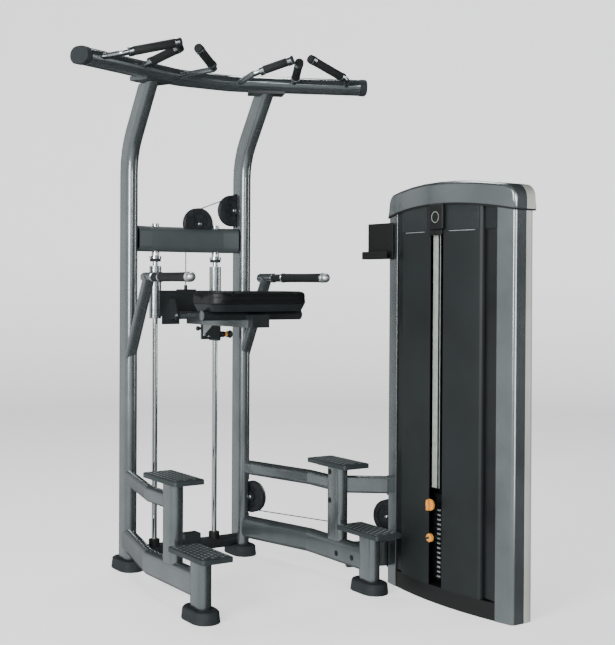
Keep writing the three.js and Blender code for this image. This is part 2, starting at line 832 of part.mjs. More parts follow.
// Base cross tube between the uprights, with the carriage's rubber stop on top
const baseTube = bar([-crossbarEnd, slidePlaneY, baseTubeLevel], [crossbarEnd, slidePlaneY,
  baseTubeLevel],
  baseTubeDiameter);
const baseBore = bar([-crossbarEnd - cutOverrun, slidePlaneY, baseTubeLevel],
  [crossbarEnd + cutOverrun, slidePlaneY, baseTubeLevel], baseTubeDiameter - tubeWall * 2);
const baseStop = box([baseStopX - half(baseStopLength), slidePlaneY - half(baseStopWidth), baseTubeLevel],
  [baseStopX + half(baseStopLength), slidePlaneY + half(baseStopWidth), baseTubeTop + baseStopHeight]);
add('base_cross_tube', join(cut(baseTube, baseBore), cut(baseStop, baseBore)), framePaint);

// Guide rods from the base tube up through the crossbar, with buffers, collars and nuts
for (const [name, side] of sides) {
  const x = side * rodX;
  const at = (level) => [x, slidePlaneY, level];
  const footTop = baseTubeTop + rodFootHeight;
  const saddle = bar([-crossbarEnd, slidePlaneY, baseTubeLevel], [crossbarEnd, slidePlaneY,
    baseTubeLevel],
    baseTubeDiameter + seatGap * 2);
  const foot = cut(bar(at(baseTubeLevel + seatGap), at(footTop), rodFootDiameter), saddle);
  const flareTop = crossbarBottom - seatGap;
  const collarTop = flareTop - rodFlareHeight;
  const bufferTop = collarTop - rodCollarHeight;
  const rod = bar(at(footTop - seatGap), at(crossbarTop + rodNutHeight), rodDiameter);
  const pieces = [
    bar(at(collarTop), at(flareTop), rodFlareDiameter),
    bar(at(bufferTop), at(collarTop), rodCollarDiameter),
    bar(at(bufferTop - rodBufferHeight), at(bufferTop), rodCollarDiameter - rodBufferInset),
    bar(at(crossbarTop + seatGap), at(crossbarTop + rodNutHeight), rodNutDiameter),
  ];
  add(`guide_rod_${name}`, join(foot, rod, ...pieces), chrome);
}

// Step beams run from the uprights out to the step posts
const postSection = oval(tubeWidth, tubeDepth);
const postRoom = oval(tubeWidth + seatGap * 2, tubeDepth + seatGap * 2);
const postBore = oval(tubeWidth - tubeWall * 2, tubeDepth - tubeWall * 2);
const lowerSection = (growth, wall = 0) => oval(tubeDepth + growth, tubeWidth + growth, wall);
const beamReach = (side, level, postY) => bentPath([[side * uprightX, 0, level], [side * stepX,
  stepBendY, level],
  [side * stepX, postY, level]], stepBendRadius);

function stepBeam(side, section, level, postY) {
  const rooms = [[side * uprightX, 0], [side * stepX, postY]].map(([x, y]) => raised(postRoom,
    level - tubeDepth,
    level + tubeDepth).translate([x, y, 0]));
  return cut(swept(section, beamReach(side, level, postY)), ...rooms);
}

// Step posts: a hollow tube under a small top plate
function stepPost(side, postY, bottom, treadTop) {
  const x = side * stepX;
  const top = treadTop - treadThickness - seatGap;
  const plate = box([x - half(postPlateWidth), postY - half(postPlateLength), top - postPlateThickness],
    [x + half(postPlateWidth), postY + half(postPlateLength), top]);
  const outside = raised(postSection, bottom, top).translate([x, postY, 0]);
  const inside = raised(postBore, bottom - cutOverrun, top - postPlateThickness).translate([x, postY, 0]);
  return [join(outside, plate), inside];
}

// Links to the weight tower, each with a flange at its far end
function towerLink(startX, startY, level, height) {
  const flangeFace = towerCentreY + half(towerLength) + linkCapGap;
  const stub = [stepX, startY + (stepX - startX) * (flangeFace - startY) / (linkEndX - startX), level];
  const stations = bentPath([stub, [linkEndX, flangeFace + half(linkFlangeThickness), level]],
    stepBendRadius);
  const outside = swept(roundedRectangle(height, linkWidth, linkCorner), stations);
  const inside = swept(roundedRectangle(height - tubeWall * 2, linkWidth - tubeWall * 2,
    linkCorner - tubeWall),
    bentPath([stub, [linkEndX, flangeFace + linkFlangeThickness, level]], stepBendRadius));
  const flange = box([linkEndX - half(linkFlangeWidth), flangeFace, level - half(height) - linkFlangeLip],
    [linkEndX + half(linkFlangeWidth), flangeFace + linkFlangeThickness,
      level + half(height) + linkFlangeLip]);
  const behind = box([linkEndX - tubeDepth, flangeFace - tubeDepth, level - height],
    [linkEndX + tubeDepth, flangeFace, level + height]);
  return [outside, cut(inside, flange), flange, behind];
}

for (const [name, side] of sides) {
  const upperBeam = oval(upperBeamHeight, upperBeamWidth, tubeWall);
  add(`upper_step_beam_${name}`, stepBeam(side, upperBeam, upperBeamLevel, upperStepY), framePaint);
  const lowerBeam = stepBeam(side, lowerSection(0, tubeWall), lowerBeamLevel, lowerStepY);
  const lowerRoom = swept(lowerSection(seatGap * 2), beamReach(side, lowerBeamLevel, lowerStepY));
  const copeBottom = lowerBeamLevel + half(tubeDepth) - postCope;
  const [upperOutside, upperInside] = stepPost(side, upperStepY, copeBottom, upperTreadTop);
  const [lowerOutside, lowerInside] = stepPost(side, lowerStepY, bootFloor + seatGap, lowerTreadTop);
  if (side < 0) {
    add(`lower_step_beam_${name}`, lowerBeam, framePaint);
    add(`upper_step_post_${name}`, cut(upperOutside, upperInside, lowerRoom), framePaint);
  } else {
    const [lowLink, lowBore, lowFlange, lowBehind] = towerLink(stepX + half(tubeWidth), lowerLinkStartY,
      lowerLinkLevel, tubeDepth);
    const beamBore = swept(oval(tubeDepth - tubeWall * 2, tubeWidth - tubeWall * 2),
      beamReach(side, lowerBeamLevel, lowerStepY));
    const linkOnly = cut(join(cut(lowLink, lowBehind), lowFlange), lowBore, beamBore);
    add(`lower_step_beam_${name}`, cut(join(lowerBeam, linkOnly), lowBore), darkPaint);
    const [upLink, upBore, upFlange, upBehind] = towerLink(stepX + half(tubeWidth), upperLinkStartY,
      upperLinkLevel, upperLinkHeight);
    const upperWhole = join(upperOutside, cut(upLink, upBehind), upFlange);
    add(`upper_step_post_${name}`, cut(upperWhole, upperInside, upBore, lowerRoom), framePaint);
  }
  add(`lower_step_post_${name}`, cut(lowerOutside, lowerInside), framePaint);
}

// Treads: slotted plates with staggered rows
function tread(side, y, top) {
  const slab = raised(roundedRectangle(treadWidth, treadLength, treadCorner), top - treadThickness, top);
  const slots = [];
  for (let row = 0; row < treadRows; row += 1) {
    const x = (row - half(treadRows - 1)) * treadSlotPitchX;
    const count = treadSlotsPerRow - row % 2;
    for (let place = 0; place < count; place += 1) {
      const middleY = (place - half(count - 1)) * treadSlotPitchY;
      slots.push(box([x - half(treadSlotWidth), middleY - half(treadSlotLength),
        top - treadThickness - cutOverrun],
        [x + half(treadSlotWidth), middleY + half(treadSlotLength), top + cutOverrun]));
    }
  }
  return cut(slab, ...slots).translate([side * stepX, y, 0]);
}

for (const [name, side] of sides) {
  add(`upper_tread_${name}`, tread(side, upperStepY, upperTreadTop), treadAlloy);
  add(`lower_tread_${name}`, tread(side, lowerTreadY, lowerTreadTop), treadAlloy);
}

// Dip arms: an oval tube up to a hub, in which the turning handle runs
const dipHeading = (side) => [side * Math.sin(dipSplay * degrees), -Math.cos(dipSplay * degrees), 0];

function dipArm(side) {
  const heading = dipHeading(side);
  const hub = [side * dipHubX, dipHubY, dipHubLevel];
  const root = [side * dipRootX, dipRootY, dipRootLevel];
  const climb = distance(root, hub);
  const foot = root.map((value, axis) => value - (hub[axis] - value) * dipRootOverlap / climb);
  const stations = bentPath([foot, hub], stepBendRadius);
  const room = raised(postRoom, dipRootLevel - tubeDepth, dipHubLevel).translate([side * uprightX, 0, 0]);
  const hubEnds = [-half(dipHubLength), half(dipHubLength)].map((length) => beyond(hub, heading, length));
  const boreEnds = [-dipHubLength, dipHubLength].map((length) => beyond(hub, heading, length));
  const bore = bar(...boreEnds, dipShaftDiameter + runningGap * 2);
  const arm = cut(swept(oval(dipArmDepth, dipArmWidth, tubeWall), stations), room);
  return cut(join(arm, bar(...hubEnds, dipHubDiameter)), bore);
}

function dipHandle(side) {
  const heading = dipHeading(side);
  const hub = [side * dipHubX, dipHubY, dipHubLevel];
  const front = half(dipHubLength) + runningGap;
  const ring = half(dipRingDiameter);
  const spacerEnd = front + dipRingLength + dipSpacerLength;
  const gripStart = spacerEnd + dipRingLength;
  const gripEnd = gripStart + dipGripLength;
  const ballStart = gripEnd + dipRingLength;
  const ballRadius = half(dipBallDiameter);
  const neck = Math.asin(dipBallNeckShare);
  const ballCentre = ballStart + ballRadius * Math.cos(neck);
  const profile = [[0, -half(dipHubLength) - runningGap - dipCapLength],
    [half(dipSpacerDiameter), -half(dipHubLength) - runningGap - dipCapLength],
    [half(dipSpacerDiameter), -half(dipHubLength) - runningGap], [half(dipShaftDiameter),
      -half(dipHubLength) - runningGap],
    [half(dipShaftDiameter), front], [ring, front], [ring, front + dipRingLength],
    [half(dipSpacerDiameter), front + dipRingLength], [half(dipSpacerDiameter), spacerEnd], [ring,
      spacerEnd],
    [ring, gripStart], [half(dipGripDiameter), gripStart], [half(dipGripDiameter), gripEnd], [ring,
      gripEnd],
    [ring, ballStart]];
  for (let step = 0; step <= ballSteps; step += 1) {
    const turn = neck + (Math.PI - neck) * step / ballSteps;
    profile.push([step < ballSteps ? ballRadius * Math.sin(turn) : 0,
      ballCentre - ballRadius * Math.cos(turn)]);
  }
  return turned(profile, hub, beyond(hub, heading, dipGripLength));
}

for (const [name, side] of sides) {
  add(`dip_arm_${name}`, dipArm(side), framePaint);
  add(`dip_handle_${name}`, dipHandle(side), chrome);
}

// Pulleys: a rim with a rope groove, a thinner web and a hub
const grooveRadius = pulleyPitchRadius - cableRadius - cablePulleyGap;
const pulleyProfile = [
  [half(axleDiameter) + runningGap, -half(pulleyHubWidth)], [half(pulleyHubDiameter),
    -half(pulleyHubWidth)],
  [half(pulleyHubDiameter), -half(pulleyWebWidth)], [grooveRadius * pulleyWebRadiusShare,
    -half(pulleyWebWidth)],
  [grooveRadius * pulleyWebRadiusShare, -half(pulleyWidth)], [pulleyRadius, -half(pulleyWidth)],
  [pulleyRadius, pulleyRimWidth - half(pulleyWidth)], [grooveRadius, -cableRadius - cablePulleyGap],
  [grooveRadius, cableRadius + cablePulleyGap], [pulleyRadius, half(pulleyWidth) - pulleyRimWidth],
  [pulleyRadius, half(pulleyWidth)], [grooveRadius * pulleyWebRadiusShare, half(pulleyWidth)],
  [grooveRadius * pulleyWebRadiusShare, half(pulleyWebWidth)], [half(pulleyHubDiameter),
    half(pulleyWebWidth)],
  [half(pulleyHubDiameter), half(pulleyHubWidth)], [half(axleDiameter) + runningGap,
    half(pulleyHubWidth)],
  [half(axleDiameter) + runningGap, -half(pulleyHubWidth)],
];

function pulley(name, centre, axis) {
  add(name, turned(pulleyProfile, centre, beyond(centre, axis, pulleyWidth), pulleyFacets), nylon);
}

pulley('crossbar_pulley', crossbarPulley, [0, 1, 0]);
pulley('upright_pulley', uprightPulley, [0, 1, 0]);
pulley('lower_pulley', lowerPulley, [...runNormal, 0]);
pulley('tower_pulley', baseTowerPulley, [...runNormal, 0]);
pulley('top_pulley_far', farTopPulley, [1, 0, 0]);
pulley('top_pulley_near', nearTopPulley, [1, 0, 0]);

// The fixed run of the cable, from above the carriage round every pulley to above the stack
function wrap(centre, across, fromAngle, toAngle) {
  const steps = Math.ceil(Math.abs(toAngle - fromAngle) / cableStepDegrees);
  const stations = [];
  for (let step = 0; step <= steps; step += 1) {
    const angle = (fromAngle + (toAngle - fromAngle) * step / steps) * degrees;
    const radial = [across[0] * Math.cos(angle), across[1] * Math.cos(angle), Math.sin(angle)];
    const way = toAngle < fromAngle ? 1 : -1;
    const along = [across[0] * Math.sin(angle), across[1] * Math.sin(angle), -Math.cos(angle)];
    stations.push({ point: new THREE.Vector3(...centre.map((value,
      axis) => value + radial[axis] * pulleyPitchRadius)),
      tangent: new THREE.Vector3(...along.map((value) => value * way)) });
  }
  return stations;
}

const pulleyClimb = Math.atan2(uprightPulley[2] - crossbarPulley[2],
  uprightPulley[0] - crossbarPulley[0]) / degrees;
const cableStations = [
  ...wrap(crossbarPulley, [1, 0], 180, 90 + pulleyClimb),
  ...wrap(uprightPulley, [1, 0], 90 + pulleyClimb, 0),
  ...wrap(lowerPulley, runHeading, 180, 270),
  ...wrap(baseTowerPulley, runHeading, 270, 360),
  ...wrap(farTopPulley, [0, -1], 180, 90),
  ...wrap(nearTopPulley, [0, -1], 90, 0),
];
add('cable_run', roundTube(cableDiameter, cableStations, cableFacets), steel);

// Carriage: two sleeves on the guide rods, a plate, the hinge's ears and the pull pin's lug
function sleeve(side, bottom) {
  return bar([side * rodX, slidePlaneY, bottom], [side * rodX, slidePlaneY, sleeveTop], sleeveDiameter);
}

const sleeveBores = sides.map(([, side]) => bar([side * rodX, slidePlaneY,
  rightSleeveBottom - cutOverrun],
  [side * rodX, slidePlaneY, sleeveTop + cutOverrun], rodDiameter + runningGap * 2));
const plateBack = carriagePlateY + half(carriagePlateThickness);
const plateFront = carriagePlateY - half(carriagePlateThickness);
const frontPlate = box([-rodX, plateFront, carriageBottom], [rodX, plateBack, carriageTop]);
const backPlate = box([-rodX, carriageBackY, carriageBottom], [rodX,
  carriageBackY + carriagePlateThickness,
  carriageTop]);
const anchor = box([-half(anchorWidth), plateBack - half(carriagePlateThickness),
  anchorTop - anchorHeight],
  [half(anchorWidth), carriageBackY + half(carriagePlateThickness), anchorTop]);
const anchorStud = bar([0, slidePlaneY, anchorTop - half(anchorStudHeight)],
  [0, slidePlaneY, anchorTop + anchorStudHeight], anchorStudDiameter);
const lip = box([carriageLipStart, plateFront, carriageBottom - carriageLipDrop],
  [carriageLipEnd, plateFront + carriageLipDepth, carriageBottom + half(carriageLipDepth)]);
const ears = sides.map(([, side]) => {
  const inner = side * (hingeEarX - half(hingeEarThickness));
  const outer = side * (hingeEarX + half(hingeEarThickness));
  const low = Math.min(inner, outer);
  const high = Math.max(inner, outer);
  const nose = bar([low, hingeY, hingeLevel], [high, hingeY, hingeLevel], hingeEarRadius * 2,
    pulleyFacets);
  const web = box([low, hingeY, hingeLevel - hingeEarRadius + half(carriagePlateThickness)],
    [high, plateFront + half(carriagePlateThickness), hingeLevel + hingeEarRise]);
  const slope = new THREE.Shape([[hingeY - hingeEarRadius, hingeLevel], [plateFront, hingeLevel],
    [plateFront, hingeLevel + hingeEarRise], [hingeY, hingeLevel + hingeEarRise]]
    .map(([y, z]) => new THREE.Vector2(y, z)));
  const cheek = new THREE.ExtrudeGeometry(slope, { depth: high - low, bevelEnabled: false });
  cheek.applyMatrix4(new THREE.Matrix4().makeBasis(new THREE.Vector3(0, 1, 0), new THREE.Vector3(0, 0, 1),
    new THREE.Vector3(1, 0, 0)));
  cheek.translate(low, 0, 0);
  return join(nose, web, solid(cheek));
});
const pinEnd = hingeEarX + half(hingeEarThickness) + hingeHeadLength;
const hingePin = bar([-pinEnd, hingeY, hingeLevel], [pinEnd, hingeY, hingeLevel], hingePinDiameter);
const headStart = pinEnd - hingeHeadLength - half(hingeHeadLength);
const hingeHeads = sides.map(([, side]) => bar([side * headStart, hingeY, hingeLevel],
  [side * pinEnd, hingeY, hingeLevel], hingeHeadDiameter));
const lugStart = lockPlateOuterX + swingGap;
const lugFace = lugStart + pullPinLugWidth;
const lug = box([lugStart, pullPinY - half(pullPinLugDepth), rightSleeveBottom],
  [lugFace, slidePlaneY, pullPinLevel + pullPinLugDepth]);
const pinBore = bar([0, pullPinY, pullPinLevel], [rodX * 2, pullPinY, pullPinLevel],
  pullPinDiameter + runningGap * 2);
const housingEnd = lugFace + pullPinHousingLength;
const pinHousing = bar([lugStart + half(pullPinLugWidth), pullPinY, pullPinLevel],
  [housingEnd, pullPinY, pullPinLevel],
  pullPinHousingDiameter);
const stemBore = bar([lugFace, pullPinY, pullPinLevel], [housingEnd + cutOverrun, pullPinY, pullPinLevel],
  pullPinStemDiameter + runningGap * 2);
const carriage = join(sleeve(-1, leftSleeveBottom), sleeve(1, rightSleeveBottom), frontPlate, backPlate,
  anchor, anchorStud, lip, ...ears, hingePin, ...hingeHeads, lug, pinHousing);
add('carriage', cut(carriage, ...sleeveBores, pinBore, stemBore), framePaint);

add('carriage_cable', bar([0, slidePlaneY, anchorTop + anchorStudHeight + seatGap],
  [0, slidePlaneY, crossbarPulleyLevel - seatGap], cableDiameter, cableFacets), steel);

// Pull pin, drawn out: pushed in by its travel, its nose goes through the lock plate's hole
const pinTip = lockPlateOuterX + pullPinNoseGap;
const stemStart = lugFace + pullPinTravel + runningGap;
const headFace = housingEnd + pullPinTravel + runningGap;
const headEnd = headFace + pullPinHeadLength;
const pullPinProfile = [
  [0, pinTip], [half(pullPinDiameter), pinTip],
  [half(pullPinDiameter), stemStart], [half(pullPinStemDiameter), stemStart],
  [half(pullPinStemDiameter), headFace], [half(pullPinHeadDiameter) - pullPinHeadEdge, headFace],
  [half(pullPinHeadDiameter), headFace + pullPinHeadEdge],
  [half(pullPinHeadDiameter), headEnd - pullPinHeadEdge],
  [half(pullPinHeadDiameter) - pullPinHeadEdge, headEnd], [0, headEnd],
];
add('pull_pin', turned(pullPinProfile, [0, pullPinY, pullPinLevel], [rodX, pullPinY, pullPinLevel],
  armFacets), blackPaint);

// Arm of the knee pad: hinge barrel, tube, end block, cross bar and lock bracket
const barrelEnd = hingeEarX - half(hingeEarThickness) - runningGap;
const barrel = bar([-barrelEnd, hingeY, hingeLevel], [barrelEnd, hingeY, hingeLevel],
  hingeBarrelDiameter);
const barrelBore = bar([-rodX, hingeY, hingeLevel], [rodX, hingeY, hingeLevel],
  hingePinDiameter + runningGap * 2);
const armTop = padArmBottom + padArmHeight;
const armEnd = padArmFront - padEndLength;
const armTube = box([-half(padArmWidth), padArmFront, padArmBottom], [half(padArmWidth), hingeY, armTop]);
const armBore = box([padArmWall - half(padArmWidth), padArmFront, padArmBottom + padArmWall],
  [half(padArmWidth) - padArmWall, hingeY + tubeWidth, armTop - padArmWall]);
const endBlock = box([-half(padEndWidth), armEnd, armTop + padArmWall - padEndHeight],
  [half(padEndWidth), padArmFront + padArmWall, armTop + padArmWall]);
const crossBar = bar([-padBarReach, padBarY, armTop], [padBarReach, padBarY, armTop], padBarDiameter);
const lockX = lockPlateOuterX - lockPlateThickness;
const lockFront = pullPinY - lockReach;
const lockWeb = box([half(padArmWidth) - padArmWall, lockFront, lockPlateBottom],
  [lockPlateOuterX, lockFront + lockWebThickness, padArmBottom]);
const lockTongue = box([half(padArmWidth) - padArmWall, lockFront, padArmBottom - lockWebThickness],
  [lockPlateOuterX, lockFront + lockWebThickness, padArmBottom + padArmWall]);
const lockPlate = box([lockX, lockFront, lockPlateBottom], [lockPlateOuterX, lockFront + lockPlateDepth,
  padArmBottom]);
const armShell = cut(join(armTube, barrel), cut(armBore, barrel));
const padArm = join(armShell, endBlock, cut(crossBar, armBore), lockWeb, lockTongue, lockPlate);
add('pad_arm', cut(padArm, barrelBore, pinBore), framePaint);

// Knee pad: a rounded block with drawn-in sides, a crowned top and two seams round it
function padOutline(inset) {
  return roundedRectangle(padWidth - inset * 2, padLength - inset * 2, Math.max(padCorner - inset,
    padEdgeRadius));
}

function padRing(inset, level, crownRise = 0) {
  const points = padOutline(inset).getSpacedPoints(padRingPoints).slice(0, padRingPoints);
  return points.map((point) => new THREE.Vector3(point.x, point.y, level + crownRise));
}

const padMiddleY = padFront + half(padLength);
const bulge = (level) => padWaist * Math.abs(level - padWaistLevel) / (padTop - padWaistLevel);
const seam = (level) => [[padWaist - bulge(level + padSeamWidth), level + padSeamWidth],
  [padWaist - bulge(level) + padSeamDepth, level], [padWaist - bulge(level - padSeamWidth),
    level - padSeamWidth]];
const padRings = [
  [padEdgeRadius, padTop - padCrown * padCrownShare], [half(padEdgeRadius), padTop - padCrown],
  [padShoulderInset, padTop - padEdgeRadius + padWaist], ...seam(upperSeamLevel), ...seam(lowerSeamLevel),
  [half(padWaist), padBottom + padEdgeRadius - padWaist], [padWaist, padBottom + padWaist],
    [padEdgeRadius, padBottom],
];

function kneePad() {
  const rings = [padRing(half(padLength) * padCrownShare, padTop), ...padRings.map(([inset,
    level]) => padRing(inset, level))];
  const positions = rings.flatMap((ring) => ring.flatMap((point) => [point.x, point.y + padMiddleY,
    point.z]));
  const count = padRingPoints;
  const index = [];
  for (let row = 0; row < rings.length - 1; row += 1) {
    for (let step = 0; step < count; step += 1) {
      const next = (step + 1) % count;
      const low = row * count;
      index.push(low + step, low + count + step, low + next, low + next, low + count + step,
        low + count + next);
    }
  }
  const top = rings.length * count;
  positions.push(0, padMiddleY, padTop, 0, padMiddleY, padBottom);
  for (let step = 0; step < count; step += 1) {
    const next = (step + 1) % count;
    const last = (rings.length - 1) * count;
    index.push(top, step, next, top + 1, last + next, last + step);
  }
  const geometry = new THREE.BufferGeometry();
  geometry.setAttribute('position', new THREE.BufferAttribute(new Float32Array(positions), 3));
  geometry.setIndex(index);
  return solid(geometry);
}

add('knee_pad', kneePad(), vinyl);

// Tray under the pad: a pan open below, its sides tapering in, notched over the arm's cross bar
function trayShell(inset, bottom, top) {
  const outline = padOutline(trayEdgeInset + inset);
  const geometry = new THREE.ExtrudeGeometry(outline, { depth: top - bottom, bevelEnabled: false,
    curveSegments: half(roundFacets) });
  const position = geometry.getAttribute('position');
  for (let index = 0; index < position.count; index += 1) {
    if (position.getZ(index) > half(top - bottom)) continue;
    position.setX(index, position.getX(index) * (1 - trayInset / half(padWidth)));
    position.setY(index, position.getY(index) * (1 - trayInset / half(padLength)));
  }
  return solid(geometry.translate(0, padMiddleY, bottom));
}

const trayHollow = cut(trayShell(trayWall, trayBottom - cutOverrun, trayTop - trayWall));
const barRoom = bar([-padWidth, padBarY, armTop], [padWidth, padBarY, armTop],
  padBarDiameter + seatGap * 2);
const blockRoom = box([-half(padEndWidth) - seatGap, padFront, trayBottom - padEndHeight],
  [half(padEndWidth) + seatGap, padFront + padLength, armTop + padArmWall + seatGap]);
add('pad_tray', cut(trayShell(0, trayBottom, trayTop), trayHollow, barRoom, blockRoom), blackPaint);

// Weight tower's plan: its long sides bulge, and every layer lies on the same curve
const alongTower = (share) => half(towerLength) * share;
const bulgeAt = (y) => half(towerEndWidth) + towerBulge * (1 - (y / half(towerLength)) ** 2);
const archAt = (y) => towerEdgeHeight + towerArchRise * (1 - (y / half(towerLength)) ** 2);

function towerBand(nearY, farY, outer, inner, front = true, back = true) {
  const shape = new THREE.Shape();
  const points = [];
  const rows = Array.from({ length: towerSteps + 1 }, (_,
    step) => nearY + (farY - nearY) * step / towerSteps);
  const left = (y, inset) => [front ? inset - bulgeAt(y) : inset, y];
  const right = (y, inset) => [back ? bulgeAt(y) - inset : inset, y];
  points.push(...rows.map((y) => left(y, outer)));
  points.push(...rows.reverse().map((y) => (back ? right(y, inner) : left(y, inner))));
  points.forEach(([x, y], index) => (index ? shape.lineTo(x, y) : shape.moveTo(x, y)));
  shape.closePath();
  return shape;
}

const atTower = (shape) => shape.translate([towerCentreX, towerCentreY, 0]);
const solidBand = (nearY, farY, inset, bottom, top) => raised(towerBand(nearY, farY, inset, inset),
  bottom, top);

// Everything under the cover is cut to the cover's arched lower edge
function underArch(gap) {
  const shape = new THREE.Shape();
  const rows = Array.from({ length: towerSteps + 1 }, (_, step) => alongTower(step * 2 / towerSteps - 1));
  shape.moveTo(-towerLength, 0);
  shape.lineTo(-towerLength, towerEdgeHeight - gap);
  rows.forEach((y) => shape.lineTo(y, archAt(y) - gap));
  shape.lineTo(towerLength, towerEdgeHeight - gap);
  shape.lineTo(towerLength, 0);
  shape.closePath();
  const geometry = new THREE.ExtrudeGeometry(shape, { depth: towerLength, bevelEnabled: false });
  geometry.applyMatrix4(new THREE.Matrix4().makeBasis(new THREE.Vector3(0, 1, 0), new THREE.Vector3(0, 0,
    1),
    new THREE.Vector3(1, 0, 0)));
  geometry.translate(-half(towerLength), 0, 0);
  return solid(geometry);
}

const archRoom = underArch(seatGap);

// Posts at the tower's two ends
const topReach = half(topPlateSpread + pulleyHubWidth) + topPlateThickness;
for (const [name, side] of [['far', 1], ['near', -1]]) {
  const outer = side * half(towerLength);
  const inner = side * (half(towerLength) - towerPostLength);
  const [low, high] = [Math.min(outer, inner), Math.max(outer, inner)];
  const outside = solidBand(low, high, 0, 0, towerEdgeHeight + towerArchRise);
  const inside = solidBand(low + towerPostWall, high - towerPostWall, towerPostWall, -cutOverrun,
    towerEdgeHeight + towerArchRise + cutOverrun);
  let post = atTower(outside.subtract(inside).intersect(archRoom));
  if (side > 0) {
    const axleRoom = box([farTopPulley[0] - topReach - swingGap, farTopPulley[1] - axleHeadDiameter,
      farTopPulley[2] - axleHeadDiameter], [farTopPulley[0] + topReach + swingGap,
        farTopPulley[1] + axleHeadDiameter,
      farTopPulley[2] + axleHeadDiameter]);
    post = cut(post, pulleySlot(baseTowerPulley, runHeading), pulleySlot(farTopPulley, [0, 1],
      towerPostLength),
      axleRoom);
  }
  add(`tower_post_${name}`, post, framePaint);
}

// Cover: a hollow shell, arched below and rounded off above
function coverBody(inset, bottomGap) {
  const topAt = (y) => archAt(y) + coverBand - inset;
  const body = solidBand(-half(towerLength) - coverOverlap + inset,
    half(towerLength) + coverOverlap - inset,
    inset - coverOverlap, towerEdgeHeight - bottomGap, topAt(0));
  const profile = new THREE.Shape();
  const halfLength = half(towerLength) + coverOverlap - inset;
  const radius = coverShoulder - inset;
  const shoulderLevel = topAt(halfLength - radius) - radius;
  const rows = Array.from({ length: towerSteps - 1 },
    (_, step) => halfLength * ((step + 1) * 2 / towerSteps - 1));
  profile.moveTo(-halfLength, 0);
  profile.lineTo(-halfLength, shoulderLevel);
  profile.absarc(radius - halfLength, shoulderLevel, radius, Math.PI, half(Math.PI), true);
  rows.filter((y) => Math.abs(y) < halfLength - radius).forEach((y) => profile.lineTo(y, topAt(y)));
  profile.absarc(halfLength - radius, shoulderLevel, radius, half(Math.PI), 0, true);
  profile.lineTo(halfLength, 0);
  profile.closePath();
  const geometry = new THREE.ExtrudeGeometry(profile, { depth: towerLength, bevelEnabled: false,
    curveSegments: half(roundFacets) });
  geometry.applyMatrix4(new THREE.Matrix4().makeBasis(new THREE.Vector3(0, 1, 0), new THREE.Vector3(0, 0,
    1),
    new THREE.Vector3(1, 0, 0)));
  geometry.translate(-half(towerLength), 0, 0);
  return body.intersect(solid(geometry));
}

const coverShell = coverBody(0, 0).subtract(coverBody(coverWall, cutOverrun)).subtract(underArch(0));
add('tower_cover', atTower(coverShell), framePaint);

// Shrouds between the posts: the front one is slotted in front of the stack
const frontSheet = raised(towerBand(-shroudHalfLength, shroudHalfLength, 0, shroudThickness, true, false),
  towerBaseHeight + seatGap, towerEdgeHeight + towerArchRise);
const returns = [-1, 1].map((side) => {
  const outer = side * shroudHalfLength;
  const inner = side * (shroudHalfLength - shroudThickness);
  const face = bulgeAt(shroudHalfLength);
  return box([-face, Math.min(outer, inner), towerBaseHeight + seatGap],
    [shroudReturn - face, Math.max(outer, inner), towerEdgeHeight + towerArchRise]);
});
const slotRoom = box([-towerLength, -half(shroudSlotWidth), 0], [0, half(shroudSlotWidth),
  shroudSlotTop]);
add('front_shroud', atTower(join(frontSheet, ...returns).intersect(archRoom).subtract(slotRoom)),
  shroudPaint);

const rearEdge = half(towerLength) - towerPostLength - rearShroudGap;
const rearSheet = raised(towerBand(-rearEdge, rearEdge, 0, shroudThickness, true, false),
  towerBaseHeight + seatGap,
  towerEdgeHeight + towerArchRise).mirror([1, 0, 0]);
add('rear_shroud', atTower(rearSheet.intersect(archRoom)), shroudPaint);

// Inner frame: base plinth, dark columns, top plates with their axles, and the stack's rods
const innerEnd = half(towerLength) - towerPostLength - seatGap;
const plinth = solidBand(-innerEnd, innerEnd, towerBaseInset, 0, towerBaseHeight)
  .subtract(solidBand(-innerEnd + towerPostWall, innerEnd - towerPostWall, towerBaseInset + towerPostWall,
    -cutOverrun, towerBaseHeight - towerPostWall));
const columns = [-1, 1].map((side) => {
  const [low, high] = [side * columnInner, side * columnOuter].sort((one, other) => one - other);
  return box([-half(columnDepth), low, towerBaseHeight - half(towerPostWall)], [half(columnDepth), high,
    towerEdgeHeight - coverOverlap * 2]);
});
const columnSlot = box([-half(pulleySlotWidth), 0, topSlotLevel], [half(pulleySlotWidth), towerLength,
  towerEdgeHeight * 2]);
const topPlates = [-1, 1].map((side) => {
  const [low, high] = [side * half(topPlateSpread + pulleyHubWidth),
    side * (half(topPlateSpread + pulleyHubWidth)
    + topPlateThickness)].sort((one, other) => one - other);
  return box([low, -columnOuter, towerPulleyLevel - half(topPlateHeight)], [high, columnOuter,
    towerPulleyLevel + half(topPlateHeight)]);
});
const topAxles = [farTopPulley, nearTopPulley].map((centre) => {
  const y = centre[1] - towerCentreY;
  return join(bar([-topReach, y, centre[2]], [topReach, y, centre[2]], axleDiameter),
    ...[-1, 1].map((side) => bar([side * (half(pulleyHubWidth) + runningGap), y, centre[2]],
      [side * topReach, y, centre[2]], axleHeadDiameter)));
});
const tieBottom = topSlotLevel - topTieThickness;
const rods = [-1, 1].map((side) => bar([0, side * stackRodSpread, towerBaseHeight - half(towerPostWall)],
  [0, side * stackRodSpread, tieBottom + half(topTieThickness)], stackRodDiameter));
const topTie = cut(box([-half(topTieWidth), -columnOuter, tieBottom], [half(topTieWidth), columnOuter,
  topSlotLevel]),
  bar([0, 0, tieBottom - cutOverrun], [0, 0, topSlotLevel + cutOverrun], cableHoleDiameter));
const buffers = [-1, 1].map((side) => bar([0, side * stackRodSpread,
  towerBaseHeight - half(towerPostWall)],
  [0, side * stackRodSpread, towerBaseHeight + stackBufferHeight], stackBufferDiameter));
